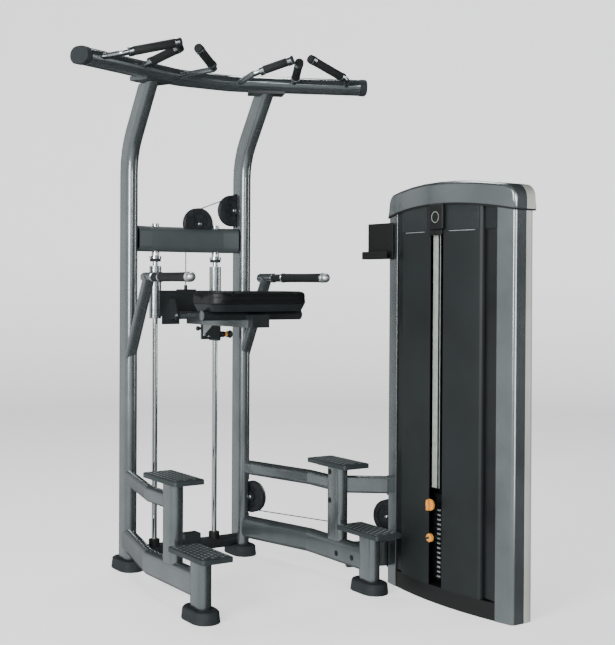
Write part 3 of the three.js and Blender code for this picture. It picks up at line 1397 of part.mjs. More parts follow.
const innerFrame = join(plinth, ...columns.map((column) => cut(column, columnSlot)), ...topPlates,
  ...topAxles,
  ...rods, topTie, ...buffers);
add('tower_frame', atTower(innerFrame), blackPaint);

// Weight stack: plates with a groove between each pair, the lifted ones under a head
const stackBottom = towerBaseHeight + stackBufferHeight + seatGap;
const rodRooms = [-1, 1].map((side) => bar([0, side * stackRodSpread, 0], [0, side * stackRodSpread,
  towerPulleyLevel], stackRodDiameter + stackRodGap * 2));

function plates(bottom, count) {
  const blocks = [box([-half(plateWidth) + plateGrooveDepth, plateGrooveDepth - half(plateLength),
    bottom],
    [half(plateWidth) - plateGrooveDepth, half(plateLength) - plateGrooveDepth,
      bottom + count * platePitch
    - plateGroove])];
  for (let place = 0; place < count; place += 1) {
    blocks.push(box([-half(plateWidth), -half(plateLength), bottom + place * platePitch],
      [half(plateWidth), half(plateLength), bottom + (place + 1) * platePitch - plateGroove]));
  }
  return join(...blocks);
}

const liftedBottom = stackBottom + restingPlateCount * platePitch;
const selectorLevel = liftedBottom + half(platePitch - plateGroove);
const pinReachX = half(plateWidth) - selectorPinReach;
const pinRoom = bar([-plateWidth, 0, selectorLevel], [-pinReachX + runningGap, 0, selectorLevel],
  selectorPinDiameter + runningGap * 2);
add('resting_plates', atTower(cut(plates(stackBottom, restingPlateCount), ...rodRooms)), steel);

const headBottom = liftedBottom + liftedPlateCount * platePitch - plateGroove;
const head = box([-half(headWidth), -half(headLength), headBottom - half(plateGroove)],
  [half(headWidth), half(headLength), headBottom + headHeight]);
const headStudTop = headBottom + headHeight + headStudHeight;
const headStud = bar([0, 0, headBottom], [0, 0, headStudTop], headStudDiameter);
const dialRoom = bar([-plateWidth, 0, dialLevel], [-pinReachX, 0, dialLevel],
  dialShaftDiameter + runningGap * 2);
add('lifted_plates', atTower(cut(join(plates(liftedBottom, liftedPlateCount), head, headStud),
  ...rodRooms, pinRoom,
  dialRoom)), steel);
add('stack_cable', bar([towerCentreX, towerCentreY, headStudTop + seatGap],
  [towerCentreX, towerCentreY, towerPulleyLevel - seatGap], cableDiameter, cableFacets), steel);

const knobBack = selectorKnobFace + selectorKnobLength;
const pinRoot = [selectorKnobFace, towerCentreY, selectorLevel];
add('selector_pin', turned([[0, 0], [half(selectorKnobDiameter) - swingGap, 0],
  [half(selectorKnobDiameter), swingGap],
  [half(selectorKnobDiameter), selectorKnobLength], [half(selectorPinDiameter), selectorKnobLength],
  [half(selectorPinDiameter), towerCentreX - pinReachX - selectorKnobFace],
  [0, towerCentreX - pinReachX - selectorKnobFace]], pinRoot, beyond(pinRoot, [1, 0, 0], knobBack)),
    orangePlastic);

const dialRoot = [dialFace, towerCentreY, dialLevel];
const dialEnd = towerCentreX - half(headWidth) + half(selectorPinReach) - dialFace;
const dialBody = turned([[0, 0], [half(dialDiameter) - swingGap, 0], [half(dialDiameter), swingGap],
  [half(dialDiameter), dialThickness], [half(dialShaftDiameter), dialThickness],
    [half(dialShaftDiameter), dialEnd],
  [0, dialEnd]], dialRoot, beyond(dialRoot, [1, 0, 0], dialEnd));
const dialTab = box([dialFace - dialTabWidth, towerCentreY - half(dialTabWidth),
  dialLevel - half(dialDiameter)
  + swingGap], [dialFace + swingGap, towerCentreY + half(dialTabWidth),
    dialLevel + half(dialDiameter) - swingGap]);
add('increment_dial', join(dialBody, dialTab), orangePlastic);

// Device holder on the far post
const holderX = towerCentreX - half(towerEndWidth) - holderForward;
const holderPlate = box([holderX, holderFarY - holderLength, holderTop - holderHeight - holderLipHeight],
  [holderX + holderThickness, holderFarY, holderTop]);
const lipOuter = box([holderX - holderLipDepth, holderFarY - holderLength,
  holderTop - holderHeight - holderLipHeight],
  [holderX, holderFarY, holderTop - holderHeight]);
const lipInner = box([holderX - holderLipDepth + holderThickness, holderFarY - holderLength - cutOverrun,
  holderTop - holderHeight - holderLipHeight + holderThickness], [holderX, holderFarY + cutOverrun,
    holderTop]);
const postFaceX = (y) => towerCentreX - bulgeAt(y - towerCentreY);
const bracket = box([holderX + half(holderThickness), holderBracketNear, holderTop - holderHeight],
  [towerCentreX, holderBracketFar, holderTop - holderHeight + holderBracketHeight]);
const postRoomBox = atTower(solidBand(half(towerLength) - towerPostLength - tubeDepth, half(towerLength)
  + holderPostMargin, -seatGap, 0, towerEdgeHeight * 2));
add('device_holder', join(holderPlate, cut(lipOuter, lipInner), cut(bracket, postRoomBox)), blackPaint);

// The whole part stands centred on the origin
part.updateMatrixWorld(true);
const bounds = new THREE.Box3().setFromObject(part);
const middle = bounds.getCenter(new THREE.Vector3());
for (const mesh of part.children) mesh.position.set(-middle.x, -middle.y, -bounds.min.z);
part.updateMatrixWorld(true);

export default part;
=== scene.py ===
"""Assisted chin-up and dip machine, dressed over its frame.

Metres, +Z up, in the frame's own place: the user stands on the -Y side and the weight tower is at +X.
Sizes and places in the tables below are in millimetres, from the floor midway between the uprights.
"""

import json
import math

import bpy
from mathutils import Matrix, Vector

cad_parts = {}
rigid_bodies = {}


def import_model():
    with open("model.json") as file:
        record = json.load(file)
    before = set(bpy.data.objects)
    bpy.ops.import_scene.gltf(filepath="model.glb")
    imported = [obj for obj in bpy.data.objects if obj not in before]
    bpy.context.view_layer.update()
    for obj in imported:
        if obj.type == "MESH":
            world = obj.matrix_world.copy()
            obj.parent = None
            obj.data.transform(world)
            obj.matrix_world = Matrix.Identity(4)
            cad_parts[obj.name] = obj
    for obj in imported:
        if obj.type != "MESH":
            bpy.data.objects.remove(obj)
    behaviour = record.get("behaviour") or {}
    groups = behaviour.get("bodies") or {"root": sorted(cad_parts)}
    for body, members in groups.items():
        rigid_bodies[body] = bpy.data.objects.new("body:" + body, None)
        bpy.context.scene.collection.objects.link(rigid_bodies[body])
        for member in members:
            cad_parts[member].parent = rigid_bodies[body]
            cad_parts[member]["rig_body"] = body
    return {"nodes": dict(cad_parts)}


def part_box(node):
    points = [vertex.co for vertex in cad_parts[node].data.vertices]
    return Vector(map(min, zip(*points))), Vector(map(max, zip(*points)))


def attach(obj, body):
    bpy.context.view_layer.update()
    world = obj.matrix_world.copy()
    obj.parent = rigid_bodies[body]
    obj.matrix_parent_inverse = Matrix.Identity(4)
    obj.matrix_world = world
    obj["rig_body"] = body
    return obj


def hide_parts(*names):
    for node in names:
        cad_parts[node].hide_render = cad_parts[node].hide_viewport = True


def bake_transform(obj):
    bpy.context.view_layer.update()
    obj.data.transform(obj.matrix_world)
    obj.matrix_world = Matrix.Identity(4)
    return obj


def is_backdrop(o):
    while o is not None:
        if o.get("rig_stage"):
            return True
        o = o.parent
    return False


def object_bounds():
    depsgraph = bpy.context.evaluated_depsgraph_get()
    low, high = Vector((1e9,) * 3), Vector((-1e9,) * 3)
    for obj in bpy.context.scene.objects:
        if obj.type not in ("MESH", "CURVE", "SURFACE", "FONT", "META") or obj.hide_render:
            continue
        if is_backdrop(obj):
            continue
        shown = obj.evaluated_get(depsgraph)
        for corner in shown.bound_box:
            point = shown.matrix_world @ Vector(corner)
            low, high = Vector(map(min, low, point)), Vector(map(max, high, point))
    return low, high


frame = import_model()
CAD_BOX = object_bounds()
NODES = frame["nodes"]
bpy.ops.object.select_all(action="DESELECT")

# The frame stands centred on its box, so the place of the guide rods tells where the uprights are
MM = 0.001
ROD_X, ROD_Y = 159.5, 10
UPRIGHTS_Y = (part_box("guide_rod_left")[0].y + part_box("guide_rod_left")[1].y) / 2 - ROD_Y * MM
SIDES = (("left", -1), ("right", 1))
UP = (0, 0, 1)


# Materials


def linear(code):
    """The linear colour of an sRGB hex code."""
    channels = [int(code[i : i + 2], 16) / 255 for i in (1, 3, 5)]
    return tuple(c / 12.92 if c <= 0.04045 else ((c + 0.055) / 1.055) ** 2.4 for c in channels) + (1.0,)


def add(tree, kind, settings=None, **links):
    """A new node with its settings and the values or sockets that feed it."""
    node = tree.nodes.new(kind)
    for name, value in (settings or {}).items():
        setattr(node, name, value)
    for name, value in links.items():
        key = int(name[1:]) if name[0] == "i" and name[1:].isdigit() else name.replace("_", " ")
        if isinstance(value, bpy.types.NodeSocket):
            tree.links.new(value, node.inputs[key])
        else:
            node.inputs[key].default_value = value
    return node


def begin(name, code, metallic=0.0, roughness=0.5, coat=0.0, coat_roughness=0.1, ior=1.5):
    """A material with its shader, and Object coordinates for its patterns."""
    material = bpy.data.materials.new(name)
    material.use_nodes = True
    tree = material.node_tree
    shader = tree.nodes["Principled BSDF"]
    shader.inputs["Base Color"].default_value = linear(code)
    shader.inputs["Metallic"].default_value = metallic
    shader.inputs["Roughness"].default_value = roughness
    shader.inputs["Coat Weight"].default_value = coat
    shader.inputs["Coat Roughness"].default_value = coat_roughness
    shader.inputs["IOR"].default_value = ior
    place = tree.nodes.new("ShaderNodeTexCoord").outputs["Object"]
    return material, tree, shader, place


def noise(tree, place, size, detail=2.0):
    """A cloudy pattern whose features have about the given size in millimetres."""
    return add(tree, "ShaderNodeTexNoise", Vector=place, Scale=1 / (size * MM), Detail=detail).outputs["Fac"]


def cells(tree, place, size, settings=None):
    """A pattern of cells of about the given size in millimetres, by the distance inside them."""
    pattern = add(tree, "ShaderNodeTexVoronoi", settings, Vector=place, Scale=1 / (size * MM))
    return pattern.outputs["Distance"]


def tint(tree, shader, factor, codes, stops=(0.0, 1.0)):
    """Colours the shader between two hex codes as a factor rises from one stop to the other."""
    ramp = add(tree, "ShaderNodeValToRGB", i0=factor)
    for element, stop, code in zip(ramp.color_ramp.elements, stops, codes):
        element.position = stop
        element.color = linear(code)
    tree.links.new(ramp.outputs["Color"], shader.inputs["Base Color"])


def vary(tree, shader, factor, low, high):
    """Varies the shader's roughness between two values."""
    spread = add(tree, "ShaderNodeMapRange", Value=factor, To_Min=low, To_Max=high)
    tree.links.new(spread.outputs["Result"], shader.inputs["Roughness"])


def bump(tree, shader, height, depth):
    """Raises the surface by a pattern whose real depth is given in millimetres."""
    raised = add(tree, "ShaderNodeBump", Height=height, Distance=depth * MM, Strength=1.0)
    tree.links.new(raised.outputs["Normal"], shader.inputs["Normal"])


def powder_coat(name, dark, light, metallic, roughness, coat):
    """Powder coat on steel: a slight orange peel, with metal flakes that make the colour drift a little."""
    material, tree, shader, place = begin(name, light, metallic, roughness, coat, coat_roughness=0.12)
    flakes = noise(tree, place, size=1.2)
    drift = noise(tree, place, size=160, detail=3.0)
    flake_share = 0.35
    blend = add(tree, "ShaderNodeMix", {"data_type": "FLOAT"}, i0=flake_share, i2=drift, i3=flakes)
    tint(tree, shader, blend.outputs[0], (dark, light), stops=(0.35, 0.65))
    vary(tree, shader, drift, low=roughness - 0.04, high=roughness + 0.05)
    bump(tree, shader, noise(tree, place, size=6, detail=1.0), depth=0.006)
    return material


def moulded_rubber(name, dark, light, grain=0.9):
    """Moulded rubber: matt, with a fine sparked grain and a dusty bloom."""
    material, tree, shader, place = begin(name, light, roughness=0.72)
    bloom = noise(tree, place, size=45, detail=4.0)
    tint(tree, shader, bloom, (dark, light), stops=(0.3, 0.7))
    vary(tree, shader, bloom, low=0.64, high=0.8)
    bump(tree, shader, cells(tree, place, grain), depth=0.12)
    return material


def textured_sheet(name, dark, light):
    """Textured powder coat on sheet steel: matt and slightly pebbled."""
    material, tree, shader, place = begin(name, light, metallic=0.15, roughness=0.55)
    tint(tree, shader, noise(tree, place, size=300, detail=3.0), (dark, light), stops=(0.3, 0.7))
    pebble = noise(tree, place, size=1.6, detail=3.0)
    vary(tree, shader, pebble, low=0.46, high=0.62)
    bump(tree, shader, pebble, depth=0.12)
    return material


def upholstery_vinyl(name, dark, light):
    """Embossed vinyl: leather grain with a soft satin sheen in the creases, and painted shade that darkens
    the creases.
    """
    material, tree, shader, place = begin(name, light, roughness=0.45)
    grain = cells(tree, place, 2.4, {"feature": "DISTANCE_TO_EDGE"})
    edge = add(tree, "ShaderNodeMapRange", Value=grain, From_Max=0.2).outputs["Result"]
    # Painted shade: the grain's creases are coloured darker than the cells between them
    tint(tree, shader, edge, (dark, light))
    vary(tree, shader, noise(tree, place, size=60, detail=3.0), low=0.4, high=0.54)
    bump(tree, shader, edge, depth=0.1)
    return material


def bright_metal(name, code, roughness, brush):
    """Metal whose surface keeps the lines of its polishing or grinding."""
    material, tree, shader, place = begin(name, code, metallic=1.0, roughness=roughness)
    drawn_out = add(tree, "ShaderNodeMapping", Vector=place, Scale=(1, 1, 0.04)).outputs["Vector"]
    lines = noise(tree, drawn_out, size=0.9)
    vary(tree, shader, lines, low=roughness, high=roughness + brush)
    bump(tree, shader, lines, depth=0.02)
    return material


def moulded_plastic(name, dark, light, roughness):
    """Injection-moulded plastic: even colour, with a faint flow in its gloss."""
    material, tree, shader, place = begin(name, light, roughness=roughness, ior=1.49)
    flow = noise(tree, place, size=25)
    tint(tree, shader, flow, (dark, light), stops=(0.3, 0.7))
    vary(tree, shader, flow, low=roughness - 0.05, high=roughness + 0.08)
    bump(tree, shader, noise(tree, place, size=0.8), depth=0.03)
    return material


def matt_paper(name, dark, light):
    """Seamless studio paper with a faint cloudiness, lit from behind a little."""
    material, tree, shader, place = begin(name, light, roughness=0.9)
    shader.inputs["Emission Color"].default_value = (1.0, 1.0, 1.0, 1.0)
    shader.inputs["Emission Strength"].default_value = 1.0
    tint(tree, shader, noise(tree, place, size=400), (dark, light))
    return material


# Powder coats: metallic share, roughness and clear coat
titanium_coat = powder_coat("titanium_grey_powder_coat", "#6b7173", "#7d8385", 0.85, 0.24, 0.6)
# The same grey coat made paler: painted light on the tower's rear half
painted_light_coat = powder_coat("titanium_coat_painted_light", "#92948e", "#a0a29c", 0.15, 0.4, 0.2)
beam_coat = powder_coat("gloss_graphite_coat", "#62696b", "#737a7c", 0.8, 0.2, 0.7)
# The grey coat made darker: painted shade on the right lower step beam
titanium_painted_shade_coat = powder_coat("titanium_coat_painted_shade", "#575e5f", "#686f70", 0.7, 0.3, 0.4)
crossbar_coat = powder_coat("satin_charcoal_coat", "#3b4243", "#474e4f", 0.1, 0.5, 0.05)
charcoal_coat = powder_coat("charcoal_powder_coat", "#1c2122", "#282d2f", 0.3, 0.44, 0.12)
black_coat = powder_coat("black_powder_coat", "#0b0e0f", "#15191a", 0.2, 0.42, 0.2)
cast_grey = powder_coat("cast_grey_bracket", "#8d9593", "#a7aeac", 0.25, 0.5, 0.0)
dark_alloy = powder_coat("dark_tread_coat", "#2c3335", "#3b4244", 0.3, 0.5, 0.0)
shroud_coat = textured_sheet("textured_charcoal_sheet", "#14191a", "#1c2223")

# Bright metals: roughness, and how much its brushing adds
chrome = bright_metal("polished_chrome", "#d4d8da", 0.08, 0.06)
satin_steel = bright_metal("satin_plated_steel", "#aeb4b6", 0.2, 0.12)
satin_ball = bright_metal("satin_aluminium_ball", "#dcdfe0", 0.42, 0.08)
ground_steel = bright_metal("ground_steel_plate", "#8a9092", 0.3, 0.15)
wire_rope = bright_metal("wire_rope_steel", "#5b6062", 0.35, 0.2)

# Rubber, vinyl, plastics with their roughness, and paper
boot_rubber = moulded_rubber("moulded_boot_rubber", "#191e20", "#242b2e")
grip_rubber = moulded_rubber("ribbed_grip_rubber", "#0d1011", "#171b1c", grain=1.4)
vinyl = upholstery_vinyl("embossed_black_vinyl", "#040506", "#0b0d0e")
nylon = moulded_plastic("black_nylon", "#121517", "#1e2326", 0.4)
matt_black = moulded_plastic("matt_black_plastic", "#040505", "#090b0b", 0.55)
# Pale grey of the slot head's ring, also used as painted light on a strip in the slot
pale_ring_and_slot_light = moulded_plastic("pale_ring_grey_and_painted_slot_light", "#8f978f", "#a3aaa2", 0.5)
label_ink = moulded_plastic("grey_label_ink", "#7d8282", "#949999", 0.6)
placard = moulded_plastic("satin_placard", "#1a1f20", "#212728", 0.42)
orange_abs = moulded_plastic("orange_abs", "#d98a2c", "#eda348", 0.35)
studio_paper = matt_paper("matt_studio_paper", "#efefef", "#f5f5f5")


# Ways of making pieces


def at(x, y, z):
    """A place given in millimetres from the floor midway between the uprights."""
    return Vector((x * MM, y * MM + UPRIGHTS_Y, z * MM))


def near_origin(x, y, z):
    """A place given in millimetres from the origin."""
    return Vector((x * MM, y * MM, z * MM))


def design(place):
    """A place in millimetres from the floor midway between the uprights."""
    return Vector((place.x / MM, (place.y - UPRIGHTS_Y) / MM, place.z / MM))


def only(obj):
    """Selects one object and makes it active."""
    bpy.ops.object.select_all(action="DESELECT")
    obj.select_set(True)
    bpy.context.view_layer.objects.active = obj


def edit(obj, selection="SELECT"):
    """Opens one object's mesh with all of it selected, or none."""
    only(obj)
    bpy.ops.object.mode_set(mode="EDIT")
    bpy.ops.mesh.select_all(action=selection)


def leave():
    """Closes the mesh that is open."""
    bpy.ops.object.mode_set(mode="OBJECT")


def freeze():
    """Puts the active object's place, turn and scale into its mesh."""
    bpy.ops.object.transform_apply(location=True, rotation=True, scale=True)


def applied(obj, kind, **settings):
    """Adds a modifier with its settings and applies it."""
    modifier = obj.modifiers.new("step", kind)
    for name, value in settings.items():
        setattr(modifier, name, value)
    only(obj)
    bpy.ops.object.modifier_apply(modifier="step")


def smooth(obj, degrees):
    """Smooth faces with crisp edges where the surface turns by more than an angle."""
    only(obj)
    bpy.ops.object.shade_smooth_by_angle(angle=math.radians(degrees))
    obj.select_set(False)


def outward(obj):
    """Closes the seam of a turned or swept mesh and turns its faces outwards."""
    edit(obj)
    bpy.ops.mesh.remove_doubles(threshold=0.02 * MM)
    bpy.ops.mesh.normals_make_consistent(inside=False)
    leave()


def cut(obj, place, normal):
    """Splits a piece's faces along a plane."""
    edit(obj)
    bpy.ops.mesh.bisect(plane_co=place, plane_no=normal)
    leave()


def joined(parts):
    """Several shapes as one piece."""
    bpy.ops.object.select_all(action="DESELECT")
    for part in parts:
        part.select_set(True)
    bpy.context.view_layer.objects.active = parts[0]
    bpy.ops.object.join()
    return parts[0]


def rounded(obj, radius, holds, segments=4, clamp=True):
    """Rounds the edges whose two ends pass a test of their places in millimetres."""
    edit(obj, "DESELECT")
    bpy.ops.mesh.select_mode(type="EDGE")
    leave()
    for edge in obj.data.edges:
        edge.select = holds(*(design(obj.data.vertices[i].co) for i in edge.vertices))
    bpy.ops.object.mode_set(mode="EDIT")
    bpy.ops.mesh.bevel(offset=radius * MM, segments=segments, profile=0.5, clamp_overlap=clamp)
    bpy.ops.mesh.select_mode(type="VERT")
    leave()


def upright(holds=lambda place: True):
    """A test of edges: they stand upright, and both their ends pass a test."""
    return lambda a, b: abs(a.x - b.x) < 0.5 and abs(a.y - b.y) < 0.5 and holds(a) and holds(b)


def soften(obj, edge, angle=40, segments=2):
    """Takes the sharpness off every edge that turns by more than an angle."""
    turn = math.radians(angle)
    applied(obj, "BEVEL", width=edge * MM, segments=segments, limit_method="ANGLE", angle_limit=turn)


def give_finishes(obj, materials, zones=(), place_of=design):
    """Gives a piece its finishes.

    Each zone is a test of a face's middle, and the faces that pass it take the next finish after the first.
    """
    obj.data.materials.clear()
    for material in materials:
        obj.data.materials.append(material)
    for index, holds in enumerate(zones, 1):
        for face in obj.data.polygons:
            if holds(place_of(face.center)):
                face.material_index = index


def settle(obj, name, body, materials, zones=(), stands_for=None, degrees=35):
    """Finishes a new piece, puts its place into its mesh and lets it ride on its body.

    The zones are tested in the coordinates that the piece was made in.
    """
    give_finishes(obj, materials if isinstance(materials, tuple) else (materials,), zones, Vector)
    only(obj)
    freeze()
    obj.name = obj.data.name = name
    smooth(obj, degrees)
    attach(obj, body)
    if stands_for:
        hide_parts(stands_for)


def copy_of(node, merge=0.01):
    """A copy of a frame node, merged within a distance in mm, with whole faces in place of its triangles."""
    copy = bpy.data.objects.new(node + "_skin", NODES[node].data.copy())
    bpy.context.scene.collection.objects.link(copy)
    edit(copy)
    bpy.ops.mesh.remove_doubles(threshold=merge * MM)
    bpy.ops.mesh.dissolve_limited(angle_limit=math.radians(1.0))
    leave()
    return copy


def stand(copy, node, materials, zones=(), degrees=38):
    """Finishes a copy of a node, which then stands for it; its zones are tested in millimetres."""
    give_finishes(copy, materials, zones)
    smooth(copy, degrees)
    applied(copy, "WEIGHTED_NORMAL", keep_sharp=True)
    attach(copy, NODES[node]["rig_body"])
    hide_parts(node)


def dressed(node, materials, edge, zones=()):
    """A frame node with softened edges and its finishes."""
    copy = copy_of(node)
    soften(copy, edge)
    stand(copy, node, materials, zones)


def aimed(start, heading):
    """The place of a piece made along +Z that is to start at a point and run along a heading."""
    turn = Vector(heading).to_track_quat("Z", "Y").to_matrix().to_4x4()
    return Matrix.Translation(start) @ turn


def turned(profile, start, heading, sides=40):
    """A piece turned on a lathe, extruded ring by ring from a disc; its profile lists (radius, distance)."""
    rings = [(radius * MM, level * MM) for radius, level in profile]
    radius, level = rings[0]
    bpy.ops.object.select_all(action="DESELECT")
    bpy.ops.mesh.primitive_circle_add(vertices=sides, radius=radius, fill_type="NGON", location=(0, 0, level))
    freeze()
    obj = bpy.context.object
    edit(obj)
    for next_radius, next_level in rings[1:]:
        bpy.ops.mesh.extrude_region_move(TRANSFORM_OT_translate={"value": (0, 0, next_level - level)})
        share = next_radius / radius
        bpy.ops.transform.resize(value=(share, share, 1), center_override=(0, 0, next_level))
        radius, level = next_radius, next_level
    leave()
    outward(obj)
    obj.matrix_world = aimed(start, heading)
    return obj


def block(low, high, bevel=0.0, segments=2, place_of=at):
    """A box between two corners in millimetres, with rounded edges."""
    low, high = place_of(*low), place_of(*high)
    bpy.ops.object.select_all(action="DESELECT")
    bpy.ops.mesh.primitive_cube_add(size=1, location=[(a + b) / 2 for a, b in zip(low, high)])
    obj = bpy.context.object
    obj.scale = [b - a for a, b in zip(low, high)]
    freeze()
    if bevel:
        edit(obj)
        bpy.ops.mesh.bevel(offset=bevel * MM, segments=segments, profile=0.5)
        leave()
    return obj


def fitting(name, profile, start, heading, body, material, sides=24):
    """A small turned piece in one finish."""
    settle(turned(profile, start, heading, sides), name, body, material)


# The run of cable between the pulleys is the one solid of the frame that stays in sight
give_finishes(NODES["cable_run"], (wire_rope,))


# Pull-up beam's handles


BEAM_LEVEL = 2256
# Each handle: place across and along, lift over the beam's middle, reach, and its turn and rise in degrees
HANDLES = {
    "wide": (540, -516, 19, 232, 13, 14.5),
    "neutral": (372, -366, 16, 178, 64, 16.5),
    "close": (119, -468, 12, 162, 143, 19),
}
COLLAR_LENGTH = 20
GRIP_CAP_LENGTH = 12


def pullup_grip(kind, name, side):
    """A rubber sleeve between two satin collars, closed by a rubber cap."""
    x, y, lift, reach, turn, rise = HANDLES[kind]
    turn, rise = math.radians(turn), math.radians(rise)
    heading = (-side * math.cos(turn) * math.cos(rise), -math.sin(turn) * math.cos(rise), math.sin(rise))
    near, cap = COLLAR_LENGTH, reach - GRIP_CAP_LENGTH
    far = cap - COLLAR_LENGTH
    profile = [(15, 0.4), (20, 0.4), (21, 1.4), (21, near - 1), (20.2, near), (18.2, near + 0.4)]
    profile += [(18.2, near + 2), (19.4, near + 4), (19.2, reach * 0.5), (19.4, far - 4), (18.2, far - 2)]
    profile += [(18.2, far - 0.4), (20.2, far), (21, far + 1), (21, cap - 1), (20.2, cap), (19.6, cap + 0.4)]
    profile += [(19.8, cap + 2), (19.8, reach - 4), (18.4, reach - 1.2), (15, reach)]
    obj = turned(profile, at(side * x, y, BEAM_LEVEL + lift), heading)
    collars = lambda p: 0.2 < p.z / MM < near + 0.3 or far - 0.3 < p.z / MM < cap + 0.2
    node = f"{kind}_grip_{name}"
    settle(obj, node + "_sleeve", "frame", (grip_rubber, satin_steel), (collars,), node)


for side_name, side_sign in SIDES:
    for handle in HANDLES:
        pullup_grip(handle, side_name, side_sign)


# Turning dip handles


DIP_HUB = (306, -228, 1347)
DIP_SPLAY = math.radians(3.6)
DIP_HUB_HALF = 52.5
BALL_RADIUS = 21
BALL_STEPS = 11


def dip_handle(name, side):
    """A chrome shaft with rings, a rubber spacer and grip, and a satin ball at its end."""
    heading = (side * math.sin(DIP_SPLAY), -math.cos(DIP_SPLAY), 0)
    front = DIP_HUB_HALF + 0.5
    spacer, grip, ball = front + 8, front + 88, front + 386
    profile = [(15, -front - 8), (18, -front - 6), (18, -front - 0.2), (12.5, -front), (12.5, front)]
    profile += [(21, front), (22, front + 1), (22, spacer - 1), (18.4, spacer), (18, spacer + 1.5)]
    profile += [(18, spacer + 71), (21, spacer + 72), (22, spacer + 73), (22, grip - 1), (20, grip)]
    profile += [(20.2, grip + 2), (19.4, grip + 145), (20.2, grip + 288), (20, grip + 290), (22, grip + 291)]
    profile += [(22, ball - 1), (16, ball), (14.8, ball + 1.4)]
    for step in range(1, BALL_STEPS + 1):
        angle = math.radians(45 + 132 * step / BALL_STEPS)
        profile.append((max(BALL_RADIUS * math.sin(angle), 1.0), ball + 16 - BALL_RADIUS * math.cos(angle)))
    obj = turned(profile, at(side * DIP_HUB[0], *DIP_HUB[1:]), heading, 48)
    rubber = lambda p: spacer < p.z / MM < spacer + 71.5 or grip < p.z / MM < grip + 290
    end = lambda p: p.z / MM > ball - 0.5
    node = f"dip_handle_{name}"
    settle(obj, node + "_shaft", node, (chrome, grip_rubber, satin_ball), (rubber, end), node)


for side_name, side_sign in SIDES:
    dip_handle(side_name, side_sign)


# Guide rods


ROD_FOOT_LEVEL = 98
CROSSBAR_UNDERSIDE, CROSSBAR_TOP = 1467, 1586


def guide_rod(name, side):
    """A chromed rod with its foot, and the flare, collar, rubber buffer and nut that hold its top."""
    base, under, over = ROD_FOOT_LEVEL, CROSSBAR_UNDERSIDE, CROSSBAR_TOP
    profile = [(24, base - 20), (26, base - 18), (26, base + 20), (24.5, base + 22), (13.5, base + 22)]
    profile += [(12.5, base + 23), (12.5, under - 46), (24, under - 46), (26, under - 45), (26, under - 35)]
    profile += [(24, under - 34), (27, under - 33.6), (28, under - 32.6), (28, under - 21), (27, under - 20)]
    profile += [(17, under - 19.8), (18, under - 18.8), (18, under - 1.5), (17.5, under - 0.5)]
    profile += [(12.5, under - 0.5), (12.5, over + 0.5), (16.5, over + 0.5), (17, over + 1)]
    profile += [(17, over + 12.5), (15.5, over + 13.5), (11, over + 13.9), (1, over + 13.9)]
    obj = turned(profile, at(side * ROD_X, ROD_Y, 0), UP)
    buffer = lambda p: under - 46.5 < p.z / MM < under - 33.8
    foot = lambda p: p.z / MM < base + 22.6
    node = f"guide_rod_{name}"
    settle(obj, node + "_turned", "frame", (chrome, boot_rubber, matt_black), (buffer, foot), node)


for side_name, side_sign in SIDES:
    guide_rod(side_name, side_sign)


# Pulleys


PITCH_RADIUS = 64
LOW_CABLE_LEVEL, TOP_PULLEY_LEVEL = 282, 1530
CABLE_DROP = Vector((317, 10, 0))
CABLE_RISE = Vector((627, -859, 0))
RUN = (CABLE_RISE - CABLE_DROP).normalized()
RUN_ACROSS = Vector((-RUN.y, RUN.x, 0))
LOWER_CENTRE = CABLE_DROP + RUN * PITCH_RADIUS
TOWER_CENTRE = CABLE_RISE - RUN * PITCH_RADIUS
# Each pulley: its centre and the way that its axle points
PULLEYS = {
    "crossbar_pulley": ((64, 10, 1604), (0, -1, 0)),
    "upright_pulley": ((253, 10, 1674), (0, -1, 0)),
    "lower_pulley": ((LOWER_CENTRE.x, LOWER_CENTRE.y, LOW_CABLE_LEVEL), -RUN_ACROSS),
    "tower_pulley": ((TOWER_CENTRE.x, TOWER_CENTRE.y, LOW_CABLE_LEVEL), -RUN_ACROSS),
    "top_pulley_far": ((627, -923, TOP_PULLEY_LEVEL), (-1, 0, 0)),
    "top_pulley_near": ((627, -1169.5, TOP_PULLEY_LEVEL), (-1, 0, 0)),
}
PULLEY_RIM, PULLEY_GROOVE, PULLEY_HUB = 76, 60.8, 22
PULLEY_RIBS = 6
AXLE_END = 21.5


def pulley_rib(angle, face):
    """One rib of a pulley's web, on its front or its back."""
    rib = block((PULLEY_HUB - 1, -1.5, 7), (51, 1.5, 11), bevel=0.5, segments=1, place_of=near_origin)
    only(rib)
    if face < 0:
        rib.rotation_euler.x = math.pi
        freeze()
    rib.rotation_euler.z = angle
    freeze()
    return rib


